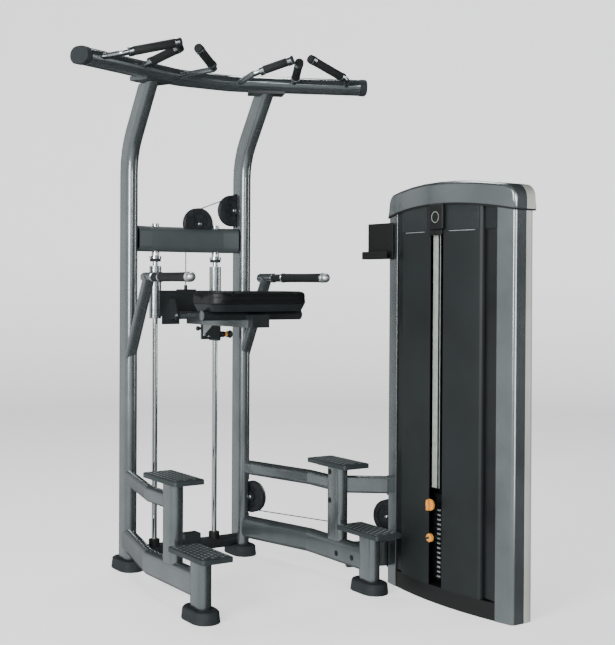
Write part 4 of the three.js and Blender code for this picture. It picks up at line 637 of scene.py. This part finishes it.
def pulley(name):
    """A moulded pulley: rope groove, dished web with ribs and a hub, with the two ends of its axle."""
    centre, face_way = PULLEYS[name]
    rim, groove, hub = PULLEY_RIM, PULLEY_GROOVE, PULLEY_HUB
    profile = [(9, -16), (hub, -16), (hub, -8), (50, -8), (52, -13), (rim - 1, -13), (rim, -12), (rim, -9.6)]
    profile += [(62, -3.2), (groove, -2), (groove, 2), (62, 3.2), (rim, 9.6), (rim, 12), (rim - 1, 13)]
    profile += [(52, 13), (50, 8), (hub, 8), (hub, 16), (9, 16)]
    wheel = turned(profile, (0, 0, 0), UP, 56)
    edit(wheel, "DESELECT")
    leave()
    for face in wheel.data.polygons:
        face.select = abs(face.normal.z) > 0.9 and len(face.vertices) > 4
    bpy.ops.object.mode_set(mode="EDIT")
    bpy.ops.mesh.delete(type="FACE")
    bpy.ops.mesh.select_all(action="DESELECT")
    bpy.ops.mesh.select_non_manifold()
    bpy.ops.mesh.bridge_edge_loops()
    leave()
    outward(wheel)
    angles = [math.radians(360 / PULLEY_RIBS * step) for step in range(PULLEY_RIBS)]
    wheel = joined([wheel, *(pulley_rib(angle, face) for angle in angles for face in (-1, 1))])
    wheel.matrix_world = aimed(at(*centre), face_way)
    settle(wheel, name + "_wheel", name, nylon, stands_for=name)
    for face in (-1, 1):
        way = Vector(face_way) * face
        head = [(9.5, 0), (9, 1.4), (7, 3), (3, 4)]
        fitting(f"{name}_axle_end_{face}", head, at(*centre) + way * AXLE_END * MM, way, "frame", satin_steel)


for pulley_name in PULLEYS:
    pulley(pulley_name)


# Kneeling pad


PAD_WIDTH, PAD_LENGTH = 474, 226
PAD_FRONT, PAD_BOTTOM, PAD_TOP = -706, 1233, 1288
PAD_CORNER, PAD_EDGE = 50, 15
PAD_CELL = 4
# The room that the cloth may swell into, and how high over its board the cushion moves freely
SWELLING, HELD_HEIGHT = 5, 18
CLOTH_FRAMES = 15
SEAM_LEVELS = (13, 1)
SEAM_WIDTH, SEAM_DEPTH = 2.2, 1.6
SEAM_RIM = 0.85


def swell(pad):
    """Lets the cushion's cloth swell under a soft pressure from inside."""
    cloth = pad.modifiers.new("stuffing", "CLOTH")
    cloth.settings.use_pressure = True
    cloth.settings.uniform_pressure_force = 4
    cloth.settings.effector_weights.gravity = 0
    scene = bpy.context.scene
    for step in range(1, CLOTH_FRAMES + 1):
        scene.frame_set(step)
    bpy.ops.object.modifier_apply(modifier="stuffing")
    scene.frame_set(1)


def kneeling_pad():
    """A padded cushion in vinyl: swollen by cloth pressure, with two sunken seams round it."""
    high = (PAD_TOP - PAD_BOTTOM - SWELLING) / 2
    half = (PAD_WIDTH / 2, PAD_LENGTH / 2, high)
    pad = block([-value for value in half], half, place_of=near_origin)
    rounded(pad, PAD_CORNER, upright(), segments=10)
    rounded(pad, PAD_EDGE, lambda a, b: min(a.z, b.z) > high - 0.5, segments=5)
    applied(pad, "REMESH", mode="VOXEL", voxel_size=PAD_CELL * MM)
    still = [vertex.co.copy() for vertex in pad.data.vertices]
    swell(pad)
    for vertex, rest in zip(pad.data.vertices, still):
        moved = vertex.co - rest
        if moved.length > SWELLING * MM:
            moved = moved.normalized() * SWELLING * MM
        held = min(max((rest.z + high * MM) / (HELD_HEIGHT * MM), 0.0), 1.0)
        vertex.co = rest + moved * held
    for vertex in pad.data.vertices:
        depth = sum(math.exp(-(((vertex.co.z / MM - level) / SEAM_WIDTH) ** 2)) for level in SEAM_LEVELS)
        inward = Vector((-vertex.co.x / PAD_WIDTH, -vertex.co.y / PAD_LENGTH, 0)) / MM
        rim = max(abs(vertex.co.x) / (PAD_WIDTH / 2 * MM), abs(vertex.co.y) / (PAD_LENGTH / 2 * MM))
        if inward.length and rim > SEAM_RIM:
            vertex.co += inward.normalized() * SEAM_DEPTH * MM * depth
    applied(pad, "SUBSURF", levels=1, render_levels=1)
    pad.location = at(0, PAD_FRONT + PAD_LENGTH / 2, (PAD_BOTTOM + PAD_TOP - SWELLING) / 2 + 0.2)
    settle(pad, "kneeling_pad", "pad", vinyl, stands_for="knee_pad", degrees=80)


kneeling_pad()


# Pad's tray, arm and lock, and the carriage that they hang on


SLEEVE_RADIUS = 28.8
HINGE_Y, HINGE_LEVEL = -72, 1172
HINGE_EAR_X, HINGE_BOLT_RADIUS = 91, 14
PIN_Y, PIN_LEVEL = -52, 1077
PIN_HOUSING_X, PIN_HOUSING_RADIUS = 144, 15.5
PIN_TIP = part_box("pull_pin")[0].x / MM
# The lock bracket under the arm: its web, its inner side, its top and back, and its slanted part's slope
WEB_X, BRACKET_X, BRACKET_TOP, BRACKET_BACK = 38, 44, 1132, -90
SLANT_X, SLANT_RUN, SLANT_RISE = 104, 30, 67
# The arm's end block and the cross bar on it
ARM_END, CROSS_BAR_BACK, ARM_HALF = -652, -500, 40
CROSS_BAR_REACH, CROSS_BAR_Y, CROSS_BAR_LEVEL = 244, -612, 1185


def carriage():
    """Plated sleeves on a dark coated plate, with bright hinge bolts and a black pin housing."""
    sleeve = lambda p: math.hypot(abs(p.x) - ROD_X, p.y - ROD_Y) < SLEEVE_RADIUS
    by_hinge = lambda p: math.hypot(p.y - HINGE_Y, p.z - HINGE_LEVEL) < HINGE_BOLT_RADIUS
    bolt = lambda p: abs(p.x) > HINGE_EAR_X and by_hinge(p)
    by_pin = lambda p: math.hypot(p.y - PIN_Y, p.z - PIN_LEVEL) < PIN_HOUSING_RADIUS
    housing = lambda p: p.x > PIN_HOUSING_X and by_pin(p)
    dressed("carriage", (charcoal_coat, satin_steel, chrome, nylon), 0.8, (sleeve, bolt, housing))


def pull_pin():
    """A spring pin drawn out: a steel nose, an orange band that shows while it is out, and a black knob."""
    profile = [(4, 0), (5.2, 0.3), (6, 1.6), (6, 32), (11, 32.2), (11, 62.8), (14, 63), (15, 64), (15, 75)]
    profile += [(18, 77), (19, 78.5), (19, 84), (18, 86), (15, 87), (3, 87.4)]
    obj = turned(profile, at(PIN_TIP, PIN_Y, PIN_LEVEL), (1, 0, 0), 36)
    band = lambda p: 32.1 < p.z / MM < 62.9
    knob = lambda p: p.z / MM > 62.8
    settle(obj, "pull_pin_turned", "pull_pin", (ground_steel, orange_abs, nylon), (band, knob), "pull_pin")


def pad_arm():
    """The arm's coated tube with its dark end block and cross bar, and the pale lock bracket under it."""
    under = lambda p: p.x > WEB_X and p.z < BRACKET_TOP and p.y > BRACKET_BACK
    slanted = lambda p: (p.x - SLANT_X) * SLANT_RISE - (p.z - BRACKET_TOP) * SLANT_RUN > 0
    bracket = lambda p: under(p) and p.x > BRACKET_X and not slanted(p)
    edges = lambda p: under(p) and (p.x < BRACKET_X or slanted(p))
    cross_bar = lambda p: abs(p.x) > ARM_HALF and p.y < CROSS_BAR_BACK
    dark = lambda p: p.y < ARM_END or cross_bar(p) or edges(p)
    piece = copy_of("pad_arm")
    cut(piece, at(BRACKET_X, 0, 0), (1, 0, 0))
    cut(piece, at(SLANT_X, 0, BRACKET_TOP), (SLANT_RISE, 0, -SLANT_RUN))
    soften(piece, 1.0)
    stand(piece, "pad_arm", (titanium_coat, cast_grey, charcoal_coat), (bracket, dark))
    cap = [(19, 0), (21.5, 0.1), (21.5, 1.4), (20, 2.4), (2, 2.8)]
    for side in (-1, 1):
        place = at(side * CROSS_BAR_REACH, CROSS_BAR_Y, CROSS_BAR_LEVEL)
        fitting(f"cross_bar_cap_{side}", cap, place, (side, 0, 0), "pad", titanium_coat, 32)
    stop = [(6, 0), (6, 14), (10, 14.2), (11, 15), (11, 25), (10, 26), (3, 26.4)]
    fitting("lock_stop_bolt", stop, at(116, -60, 1100), (-1, 0, 0), "pad", black_coat)
    fitting("lock_side_stud", stop, at(40, -78, 1108), (-1, 0, 0), "pad", black_coat)
    screw = [(6, 0), (6, 2), (4, 4), (1, 4.6)]
    for number, (x, level) in enumerate(((76, 1070), (52, 1076))):
        fitting(f"lock_screw_{number}", screw, at(x, -84.5, level), (0, -1, 0), "pad", satin_steel, 20)


carriage()
pull_pin()
pad_arm()
dressed("pad_tray", (charcoal_coat,), 1.5)


# Rubber boots, beam caps and treads


BOOT_SHOULDER, BOOT_FOOT, BEAM_CAP_EDGE = 9, 2, 7
# The rim round a boot's tube ends at these shares of the way from its middle to its sides
RIM_ACROSS, RIM_ALONG = 0.7, 0.72


def boot(node):
    """A deep moulded boot with rounded shoulders and a softened foot."""
    piece = copy_of(node)
    low, high = (design(corner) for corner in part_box(node))
    middle, half = (low + high) / 2, (high - low) / 2
    rim = lambda p: abs(p.x - middle.x) / half.x < RIM_ACROSS and abs(p.y - middle.y) / half.y < RIM_ALONG
    shoulder = lambda p: p.z > high.z - 0.5 and not rim(p)
    rounded(piece, BOOT_SHOULDER, lambda a, b: shoulder(a) and shoulder(b), segments=4)
    rounded(piece, BOOT_FOOT, lambda a, b: max(a.z, b.z) < 0.5, segments=2)
    stand(piece, node, (boot_rubber,), degrees=50)


def beam_cap(node):
    """A moulded cap with a broad round edge on the pull-up beam's end."""
    piece = copy_of(node)
    soften(piece, BEAM_CAP_EDGE, angle=50, segments=4)
    stand(piece, node, (boot_rubber,), degrees=60)


for side_name, _ in SIDES:
    boot(f"upright_boot_{side_name}")
    boot(f"step_boot_{side_name}")
    beam_cap(f"beam_cap_{side_name}")


TREAD_ROWS, TREAD_PER_ROW = 6, 9
TREAD_PITCH_X, TREAD_PITCH_Y = 21.5, 30
TREAD_CORNER, TREAD_EDGE = 14, 2.5
# Each lozenge: its half sizes, its reach under and over the solid's top, and how it narrows
LOZENGE_HALF = (6.5, 12)
LOZENGE_ROOT, LOZENGE_RISE = 2, 0.6
LOZENGE_NARROWING = (0.78, 0.86, 1)
LOZENGE_SIDES = 12


def lozenge(x, y, top):
    """One raised lozenge on a tread whose top is at a level."""
    bpy.ops.object.select_all(action="DESELECT")
    bpy.ops.mesh.primitive_circle_add(
        vertices=LOZENGE_SIDES, radius=1, fill_type="NGON", location=at(x, y, top - LOZENGE_ROOT))
    stud = bpy.context.object
    stud.scale = (LOZENGE_HALF[0] * MM, LOZENGE_HALF[1] * MM, 1)
    freeze()
    edit(stud)
    height = (LOZENGE_ROOT + LOZENGE_RISE) * MM
    bpy.ops.mesh.extrude_region_move(TRANSFORM_OT_translate={"value": (0, 0, height)})
    bpy.ops.transform.resize(value=LOZENGE_NARROWING, center_override=at(x, y, top))
    leave()
    outward(stud)
    return stud


def tread(node):
    """A dark cast tread whose raised lozenges stand in staggered rows, with their tops painted paler as a
    painted highlight.
    """
    low, high = (design(corner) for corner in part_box(node))
    piece = block(low, (high.x, high.y, high.z - LOZENGE_RISE))
    rounded(piece, TREAD_CORNER, upright(), segments=5)
    rounded(piece, TREAD_EDGE, lambda a, b: min(a.z, b.z) > high.z - 1.0, segments=3)
    lozenges = []
    for row in range(TREAD_ROWS):
        count = TREAD_PER_ROW - row % 2
        x = (low.x + high.x) / 2 + (row - (TREAD_ROWS - 1) / 2) * TREAD_PITCH_X
        for place in range(count):
            y = (low.y + high.y) / 2 + (place - (count - 1) / 2) * TREAD_PITCH_Y
            lozenges.append(lozenge(x, y, high.z))
    piece = joined([piece, *lozenges])
    # Painted highlight: the lozenges' tops take a paler grey
    painted_top_highlight = lambda p: design(p).z > high.z + LOZENGE_RISE / 2
    settle(piece, node + "_cast", "frame", (dark_alloy, cast_grey), (painted_top_highlight,), node)


for side_name, _ in SIDES:
    tread(f"upper_tread_{side_name}")
    tread(f"lower_tread_{side_name}")


# Weight tower


TOWER_X, TOWER_Y = 627, -1233.5
TOWER_HALF, END_HALF, BULGE = 403.5, 54, 48
EDGE_LEVEL, ARCH_RISE = 1618, 37
# Where the painted light on the tower's coat begins
PAINTED_LIGHT_SPLIT_X = TOWER_X + 4
POST_LENGTH = 85
COVER_EDGE, POST_FRONT_EDGE, POST_REAR_EDGE, POST_INNER_EDGE, POST_LIP_EDGE = 15, 13, 44, 40, 3
SLOT_HALF, SLOT_TOP = 29, 1530
SHROUD_END, SHROUD_BEND, SHROUD_MOVE = 272, 14, 26


def arch(y):
    """The share of the tower's full bulge or arch at a place along it: 1 in its middle, 0 at its ends."""
    return 1 - ((y - TOWER_Y) / TOWER_HALF) ** 2


def front_x(y):
    """How far the tower's bulging front lies from the middle between the uprights, at a place along it."""
    return TOWER_X - END_HALF - BULGE * arch(y)


def painted_rear_light(piece, node):
    """Finishes a copy of one of the tower's coated nodes; behind the tower's middle its grey coat is painted
    paler, as painted light.
    """
    cut(piece, at(PAINTED_LIGHT_SPLIT_X, 0, 0), (1, 0, 0))
    painted_lit_rear = lambda p: p.x > PAINTED_LIGHT_SPLIT_X
    stand(piece, node, (titanium_coat, painted_light_coat), (painted_lit_rear,), degrees=50)


def tower_cover():
    """The coated cover: a broad soft edge round its arched face and down its corners."""
    piece = copy_of("tower_cover", merge=2.0)
    face = lambda p: abs(p.x - TOWER_X) > END_HALF + 1 + BULGE * max(0, arch(p.y))
    top = lambda p: p.z > EDGE_LEVEL + 30 + ARCH_RISE * arch(p.y)
    corner = lambda p: abs(p.y - TOWER_Y) > TOWER_HALF + 2
    same_face = lambda a, b: face(a) and face(b) and (a.x - TOWER_X) * (b.x - TOWER_X) > 0
    rim = lambda a, b: same_face(a, b) and ((top(a) and top(b)) or (corner(a) and corner(b)))
    rounded(piece, COVER_EDGE, rim, segments=5, clamp=False)
    painted_rear_light(piece, "tower_cover")


def tower_post(name, side):
    """A coated post with soft corners at the tower's end."""
    node = f"tower_post_{name}"
    piece = copy_of(node)
    along = lambda p: side * (p.y - TOWER_Y) - TOWER_HALF
    outer = lambda p: along(p) > -0.5
    inner = lambda p: -0.5 >= along(p) > -4.5 and p.x > TOWER_X + 40
    lip = lambda p: along(p) < 0.5 - POST_LENGTH and abs(p.x - TOWER_X) > END_HALF + 12
    front, rear = (lambda p: outer(p) and p.x < TOWER_X), (lambda p: outer(p) and p.x > TOWER_X)
    rounded(piece, POST_FRONT_EDGE, upright(front), segments=5, clamp=False)
    rounded(piece, POST_REAR_EDGE, upright(rear), segments=10, clamp=False)
    rounded(piece, POST_INNER_EDGE, upright(inner), segments=10, clamp=False)
    rounded(piece, POST_LIP_EDGE, upright(lip), segments=3)
    painted_rear_light(piece, node)


def move_along(piece, holds):
    """Moves the points that pass a test along the tower's bulging front."""
    for vertex in piece.data.vertices:
        place = design(vertex.co)
        if holds(place):
            vertex.co.y += SHROUD_MOVE * MM
            vertex.co.x += (front_x(place.y + SHROUD_MOVE) - front_x(place.y)) * MM


def front_shroud():
    """The front sheet: its ends turn in over a soft bend, its slot is widened and its near end moved in."""
    piece = copy_of("front_shroud")
    move_along(piece, lambda p: abs(p.y - (TOWER_Y + SLOT_HALF)) < 1 and p.z < SLOT_TOP + 1)
    bend = lambda p: abs(p.y - TOWER_Y) > SHROUD_END - 1 and p.x < front_x(p.y) + 1
    rounded(piece, SHROUD_BEND, upright(bend), segments=5)
    move_along(piece, lambda p: p.y < TOWER_Y - SHROUD_END + 22)
    stand(piece, "front_shroud", (shroud_coat,), degrees=50)


def face_panel(name, ends, levels, lift, thickness, material, bevel=0.0, rise=0, steps=10):
    """A thin panel that follows the tower's bulging front between two places, and its arch if it rises."""
    bpy.ops.object.select_all(action="DESELECT")
    bpy.ops.mesh.primitive_grid_add(x_subdivisions=steps, y_subdivisions=1, size=1, location=(0, 0, 0))
    obj = bpy.context.object
    for vertex in obj.data.vertices:
        y = ends[0] + (ends[1] - ends[0]) * (vertex.co.x + 0.5)
        z = levels[0] + (levels[1] - levels[0]) * (vertex.co.y + 0.5) + rise * arch(y)
        vertex.co = at(front_x(y) - lift, y, z)
    edit(obj)
    bpy.ops.mesh.normals_make_consistent(inside=False)
    leave()
    way = 1 if sum(face.normal.x for face in obj.data.polygons) < 0 else -1
    applied(obj, "SOLIDIFY", thickness=thickness * MM, offset=way)
    outward(obj)
    if bevel:
        soften(obj, bevel, 60)
    settle(obj, name, "frame", material, degrees=40)


HEAD_X, HEAD_HALF, HEAD_LEVELS = 508, 43, (1547, 1652)
RING_PLACE, RING_RADII, RING_FLATNESS = (HEAD_X, TOWER_Y + 4, 1598), (22, 1.3), 0.6


def slot_head():
    """The matt black block over the slot with a bare raised ring, and the cap at the slot's top."""
    low = (HEAD_X, TOWER_Y - HEAD_HALF, HEAD_LEVELS[0])
    high = (front_x(TOWER_Y) + 0.2, TOWER_Y + HEAD_HALF, HEAD_LEVELS[1])
    settle(block(low, high, bevel=5, segments=3), "slot_head_block", "frame", matt_black, degrees=50)
    cap = block((516, TOWER_Y - 28, 1524), (526, TOWER_Y + 54, 1549), bevel=2)
    settle(cap, "slot_top_cap", "frame", matt_black, degrees=50)
    wide, thin = (radius * MM for radius in RING_RADII)
    bpy.ops.object.select_all(action="DESELECT")
    bpy.ops.mesh.primitive_torus_add(
        major_radius=wide, minor_radius=thin, major_segments=48, minor_segments=8,
        location=at(*RING_PLACE), rotation=(0, math.pi / 2, 0))
    ring = bpy.context.object
    ring.scale = (1, 1, RING_FLATNESS)
    settle(ring, "slot_head_ring", "frame", pale_ring_and_slot_light, degrees=80)


# Boxes of the tower that only have softened edges: two corners, the size of the softening, and the finish
SLABS = {
    # The three strips in the slot are painted light: pale and grey bands that stand for the lit far post seen
    # through the slot
    "slot_painted_light_0": ((544, -1208, 474), (547, -1176, 1527), 0.6, pale_ring_and_slot_light),
    "slot_painted_light_1": ((544, -1223, 474), (547, -1219, 1527), 0.6, label_ink),
    "slot_painted_light_2": ((544, -1249, 474), (547, -1245, 1527), 0.6, cast_grey),
    "recess_sheet_near": ((562, -1549, 76), (565, -1482, 1640), 0.6, black_coat),
    "recess_sheet_far": ((562, -958, 76), (565, -918, 1640), 0.6, black_coat),
    "recess_panel_near": ((556, -1548, 1543), (559, -1483, 1640), 1, shroud_coat),
    "recess_panel_far": ((556, -957, 1543), (559, -919, 1640), 1, shroud_coat),
    # Black strips under the cover's lower edge are painted shadow: they stand for the shade in a gap under
    # the cover
    "painted_cover_shadow_near": ((573.5, TOWER_Y - 405, 1611), (680.5, TOWER_Y - 401, 1618.6), 0.6, matt_black),
    "painted_cover_shadow_far": ((573.5, TOWER_Y + 401, 1611), (680.5, TOWER_Y + 405, 1618.6), 0.6, matt_black),
}
RESTING_PLATES, LIFTED_PLATES = 9, 6
PLATE_PITCH = 19.8
LOWEST_LABEL = 101
LABEL_HALF = 3.6

tower_cover()
tower_post("far", 1)
tower_post("near", -1)
front_shroud()
face_panel("placard_far", (-1158, -962), (1545, 1652), 0.3, 0.8, placard, bevel=0.6)
face_panel("placard_near", (-1464, -1268), (1545, 1650), 0.3, 0.8, placard, bevel=0.6)
face_panel("placard_line_far", (-1138, -992), (1539, 1541.5), 0.6, 0.3, label_ink)
face_panel("placard_line_near", (-1444, -1298), (1539, 1541.5), 0.6, 0.3, label_ink)
# A black strip along the front under the cover's edge: painted shadow for the shade in a gap under the cover
face_panel("painted_cover_shadow", (TOWER_Y - 404.5, TOWER_Y + 404.5), (1611, 1619), 1.6, 3, matt_black,
           rise=ARCH_RISE, steps=32)
slot_head()
for slab_name, (slab_low, slab_high, slab_edge, slab_finish) in SLABS.items():
    settle(block(slab_low, slab_high, slab_edge, 1), slab_name, "frame", slab_finish)
for plate in range(RESTING_PLATES + LIFTED_PLATES):
    label_level = LOWEST_LABEL + PLATE_PITCH * plate
    label = block((566.2, -1207, label_level - LABEL_HALF), (567.3, -1186, label_level + LABEL_HALF), 0.3, 1)
    label_body = "frame" if plate < RESTING_PLATES else "lifted_stack"
    settle(label, f"weight_label_{label_level:.0f}", label_body, label_ink)
for stack_node in ("resting_plates", "lifted_plates"):
    dressed(stack_node, (black_coat,), 0.8)
dressed("device_holder", (matt_black,), 2)
dressed("tower_frame", (matt_black,), 1.0)
dressed("rear_shroud", (shroud_coat,), 0.8)


DIAL_X, DIAL_LEVEL = 481, 415
KNOB_X, KNOB_LEVEL = 480, 279.2


def dial():
    """The increment dial: an orange disc with a raised finger bar, on a dark shaft."""
    profile = [(20, 0), (23, 0.8), (24, 2.2), (24, 11.5), (22.5, 13.5), (8, 14), (7, 14.4), (7, 120)]
    disc = turned(profile, at(DIAL_X, TOWER_Y, DIAL_LEVEL), (1, 0, 0), 48)
    bar = block((DIAL_X - 12, TOWER_Y - 6, DIAL_LEVEL - 22), (DIAL_X + 1, TOWER_Y + 6, DIAL_LEVEL + 22), 3, 3)
    only(disc)
    freeze()
    shaft = lambda p: design(p).x > DIAL_X + 14.5
    settle(joined([disc, bar]), "increment_dial_turned", "increment_dial", (orange_abs, black_coat), (shaft,),
           "increment_dial", 40)


def selector_knob():
    """The selector pin: an orange knob on a steel pin, with a small black clip at its face."""
    profile = [(13, 0), (16, 0.8), (17.5, 2.6), (17, 8), (17.5, 12.5), (16, 15), (9, 16), (5, 16.4)]
    profile += [(5, 130), (3, 131)]
    piece = turned(profile, at(KNOB_X, TOWER_Y, KNOB_LEVEL), (1, 0, 0))
    pin = lambda p: p.z / MM > 16.2
    settle(piece, "selector_knob", "selector_pin", (orange_abs, ground_steel), (pin,), "selector_pin")
    clip = [(3.4, 0), (4.6, 1), (4.6, 9), (3, 10)]
    place = at(KNOB_X + 1, TOWER_Y, KNOB_LEVEL)
    fitting("selector_clip", clip, place, (-1, 0, 0), "selector_pin", black_coat, 20)


dial()
selector_knob()


# Frame tubes with their plugs, and the cables that wind over their pulleys


BEAM_Y, BEAM_BEND_X, BEAM_HALF = -178, 140, 60
BEAM_SWEEP = math.radians(23.6)
SEAT_TOP = 2219
# The tubes whose coat isn't the grey of the others, where the right lower step beam's is the grey coat
# darkened as painted shade, and the names of all that come in pairs
TUBES = {
    "mid_crossbar": crossbar_coat,
    "base_cross_tube": charcoal_coat,
    "lower_step_beam_right": titanium_painted_shade_coat,
}
STEP_TUBES = ("upper_step_post", "upper_step_beam", "lower_step_post", "lower_step_beam")
PAIRED_TUBES = ("upright", "dip_arm", *STEP_TUBES)
PLUG_X = 379
PLUG_PROFILE = [(12.5, -0.4), (12.5, 1), (10.625, 1.8), (3.75, 2)]
PLUG_PLACES = ((-660, 482), (-660, 355), (-714, 127), (-832, 130))


def beam_line(x):
    """How far back the pull-up beam's axis lies at a place across it."""
    return BEAM_Y - max(0.0, abs(x) - BEAM_BEND_X) * math.tan(BEAM_SWEEP)


def winding_cable(node):
    """A copy of a cable's node in its place, its faces split across at its middle level, with its finish."""
    low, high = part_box(node)
    middle = (low + high) / 2
    piece = copy_of(node)
    cut(piece, middle, UP)
    give_finishes(piece, (wire_rope,))
    smooth(piece, 50)
    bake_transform(piece)
    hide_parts(node)


for side_name, side_sign in SIDES:
    for tube_name in PAIRED_TUBES:
        TUBES.setdefault(f"{tube_name}_{side_name}", titanium_coat)
    for number, (plug_y, plug_level) in enumerate(PLUG_PLACES):
        plug_place = at(side_sign * PLUG_X, plug_y, plug_level)
        fitting(f"plug_{side_name}_{number}", PLUG_PROFILE, plug_place, (-1, 0, 0), "frame", matt_black)
for tube_name, tube_finish in TUBES.items():
    dressed(tube_name, (tube_finish,), 1.2)
handle_arms = lambda p: p.y < beam_line(p.x) - BEAM_HALF
seats = lambda p: p.z < SEAT_TOP
dressed("pullup_beam", (beam_coat, satin_steel, charcoal_coat), 1.2, (handle_arms, seats))
winding_cable("carriage_cable")
winding_cable("stack_cable")


# Floor, light and camera


# In metres: the ring of paper's radius, its foot's curve and its height, and half the floor's width
RING_RADIUS, COVE, RING_HEIGHT, FLOOR_HALF = 9.5, 1.6, 9.0, 8.5
COVE_STEPS, RING_STEPS = 12, 64


def paper(name, corners, faces):
    """A stretch of matt studio paper."""
    mesh = bpy.data.meshes.new(name)
    mesh.from_pydata(corners, [], faces)
    sheet = bpy.data.objects.new(name, mesh)
    bpy.context.scene.collection.objects.link(sheet)
    for face in mesh.polygons:
        face.use_smooth = True
    mesh.materials.append(studio_paper)
    sheet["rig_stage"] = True
    return sheet


def studio():
    """A wide pale floor inside a ring of seamless paper that curves up from it."""
    foot = RING_RADIUS - COVE
    profile = [(foot - 0.01, 0.001)]
    for step in range(COVE_STEPS + 1):
        turn = math.radians(90) * step / COVE_STEPS
        profile.append((foot + COVE * math.sin(turn), 0.001 + COVE - COVE * math.cos(turn)))
    profile.append((RING_RADIUS, RING_HEIGHT))
    corners = []
    for step in range(RING_STEPS):
        angle = math.tau * step / RING_STEPS
        corners += [Vector((along * math.cos(angle), along * math.sin(angle), up)) for along, up in profile]
    count = len(profile)
    faces = []
    for step in range(RING_STEPS):
        here, beyond = step * count, (step + 1) % RING_STEPS * count
        faces += [(here + k, here + k + 1, beyond + k + 1, beyond + k) for k in range(count - 1)]
    backdrop = paper("backdrop", corners, faces)
    backdrop.visible_glossy = False
    backdrop.visible_diffuse = False
    backdrop.visible_shadow = False
    corners = [Vector((x * FLOOR_HALF, y * FLOOR_HALF, 0)) for x, y in ((-1, -1), (1, -1), (1, 1), (-1, 1))]
    floor = paper("floor", corners, [(0, 1, 2, 3)])
    floor.visible_glossy = False


def soft_light(name, place, target, size, power):
    """A broad lamp at a place in metres, aimed at a target, with its width, height and watts."""
    light = bpy.data.lights.new(name, "AREA")
    light.shape = "RECTANGLE"
    light.size, light.size_y = size
    light.energy = power
    lamp = bpy.data.objects.new(name, light)
    lamp.location = place
    lamp.rotation_euler = (Vector(target) - Vector(place)).to_track_quat("-Z", "Y").to_euler()
    bpy.context.scene.collection.objects.link(lamp)
    return lamp


# The photograph's view: focal length and principal point in pixels of a frame 615 wide and 645 high
FRAME_HEIGHT = 645
FOCAL_PIXELS = 1182.3
HORIZON_PIXELS = 322.5 - 295.58
SENSOR_WIDTH = 36
CAMERA_YAW = math.radians(33.179)
CAMERA_PITCH = math.radians(0.562)
CAMERA_ROLL = math.radians(0.310)
CAMERA_PLACE = Vector((-2.5946, -5.0184 + UPRIGHTS_Y, 1.32))


def camera():
    """The camera that the photograph was solved for."""
    data = bpy.data.cameras.new("camera")
    data.sensor_width = SENSOR_WIDTH
    data.lens = FOCAL_PIXELS * SENSOR_WIDTH / FRAME_HEIGHT
    data.shift_y = -HORIZON_PIXELS / FRAME_HEIGHT
    ahead = math.cos(CAMERA_PITCH)
    forward = Vector((math.sin(CAMERA_YAW) * ahead, math.cos(CAMERA_YAW) * ahead, -math.sin(CAMERA_PITCH)))
    level = Vector((math.cos(CAMERA_YAW), -math.sin(CAMERA_YAW), 0))
    above = level.cross(forward)
    right = level * math.cos(CAMERA_ROLL) + above * math.sin(CAMERA_ROLL)
    up = above * math.cos(CAMERA_ROLL) - level * math.sin(CAMERA_ROLL)
    turn = Matrix((right, up, -forward)).transposed()
    eye = bpy.data.objects.new("camera", data)
    eye.matrix_world = Matrix.Translation(CAMERA_PLACE) @ turn.to_4x4()
    bpy.context.scene.collection.objects.link(eye)
    bpy.context.scene.camera = eye


def eased(tree, value, start, end, first, last):
    """Eases a value from a first level to a last one between two places."""
    curve = {"interpolation_type": "SMOOTHSTEP"}
    return add(tree, "ShaderNodeMapRange", curve, Value=value, From_Min=start, From_Max=end, To_Min=first,
               To_Max=last).outputs["Result"]


def product(tree, one, other):
    """The product of two values."""
    return add(tree, "ShaderNodeMath", {"operation": "MULTIPLY"}, i0=one, i1=other).outputs["Value"]


def surround():
    """A studio with a pale wall to the left, and dark flags to the right, overhead and below."""
    world = bpy.data.worlds.new("studio")
    world.use_nodes = True
    tree = world.node_tree
    way = tree.nodes.new("ShaderNodeTexCoord").outputs["Generated"]
    axes = add(tree, "ShaderNodeSeparateXYZ", i0=way)
    side = eased(tree, axes.outputs["X"], -0.5, 0.4, 1.0, 0.0)
    above = eased(tree, axes.outputs["Z"], 0.15, 0.5, 1.0, 0.0)
    below = eased(tree, axes.outputs["Z"], -0.8, -0.5, 0.0, 1.0)
    ramp = add(tree, "ShaderNodeValToRGB", i0=product(tree, side, product(tree, above, below)))
    ramp.color_ramp.elements[0].color = linear("#34383a")
    ramp.color_ramp.elements[1].color = linear("#e6eaec")
    background = tree.nodes["Background"]
    tree.links.new(ramp.outputs["Color"], background.inputs["Color"])
    background.inputs["Strength"].default_value = 1.0
    bpy.context.scene.world = world


camera()
studio()
soft_light("key", (-5.0, -2.5, 2.6), (0, 0, 1.1), (2.2, 3.6), 330)
soft_light("front", (-1.5, -6.5, 3.4), (0, 0, 1.0), (2.0, 2.4), 110)
soft_light("strip", (5.2, -2.6, 2.0), (0.3, -0.3, 1.0), (0.9, 3.6), 60)
soft_light("top", (0.3, 2.0, 5.5), (0.2, -0.2, 1.0), (3.0, 1.2), 120)

# This lamp shines only on the tower's coated pieces
rim_lamp = soft_light("rim", (0.4, -3.6, 1.2), (0.65, -0.87, 1.1), (1.2, 2.4), 70)
rim_group = bpy.data.collections.new("tower_coated_pieces")
for rim_piece in ("tower_cover_skin", "tower_post_far_skin", "tower_post_near_skin"):
    rim_group.objects.link(bpy.data.objects[rim_piece])
rim_lamp.light_linking.receiver_collection = rim_group
surround()

{"cad": [list(corner) for corner in CAD_BOX], "visual": [list(corner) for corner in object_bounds()]}
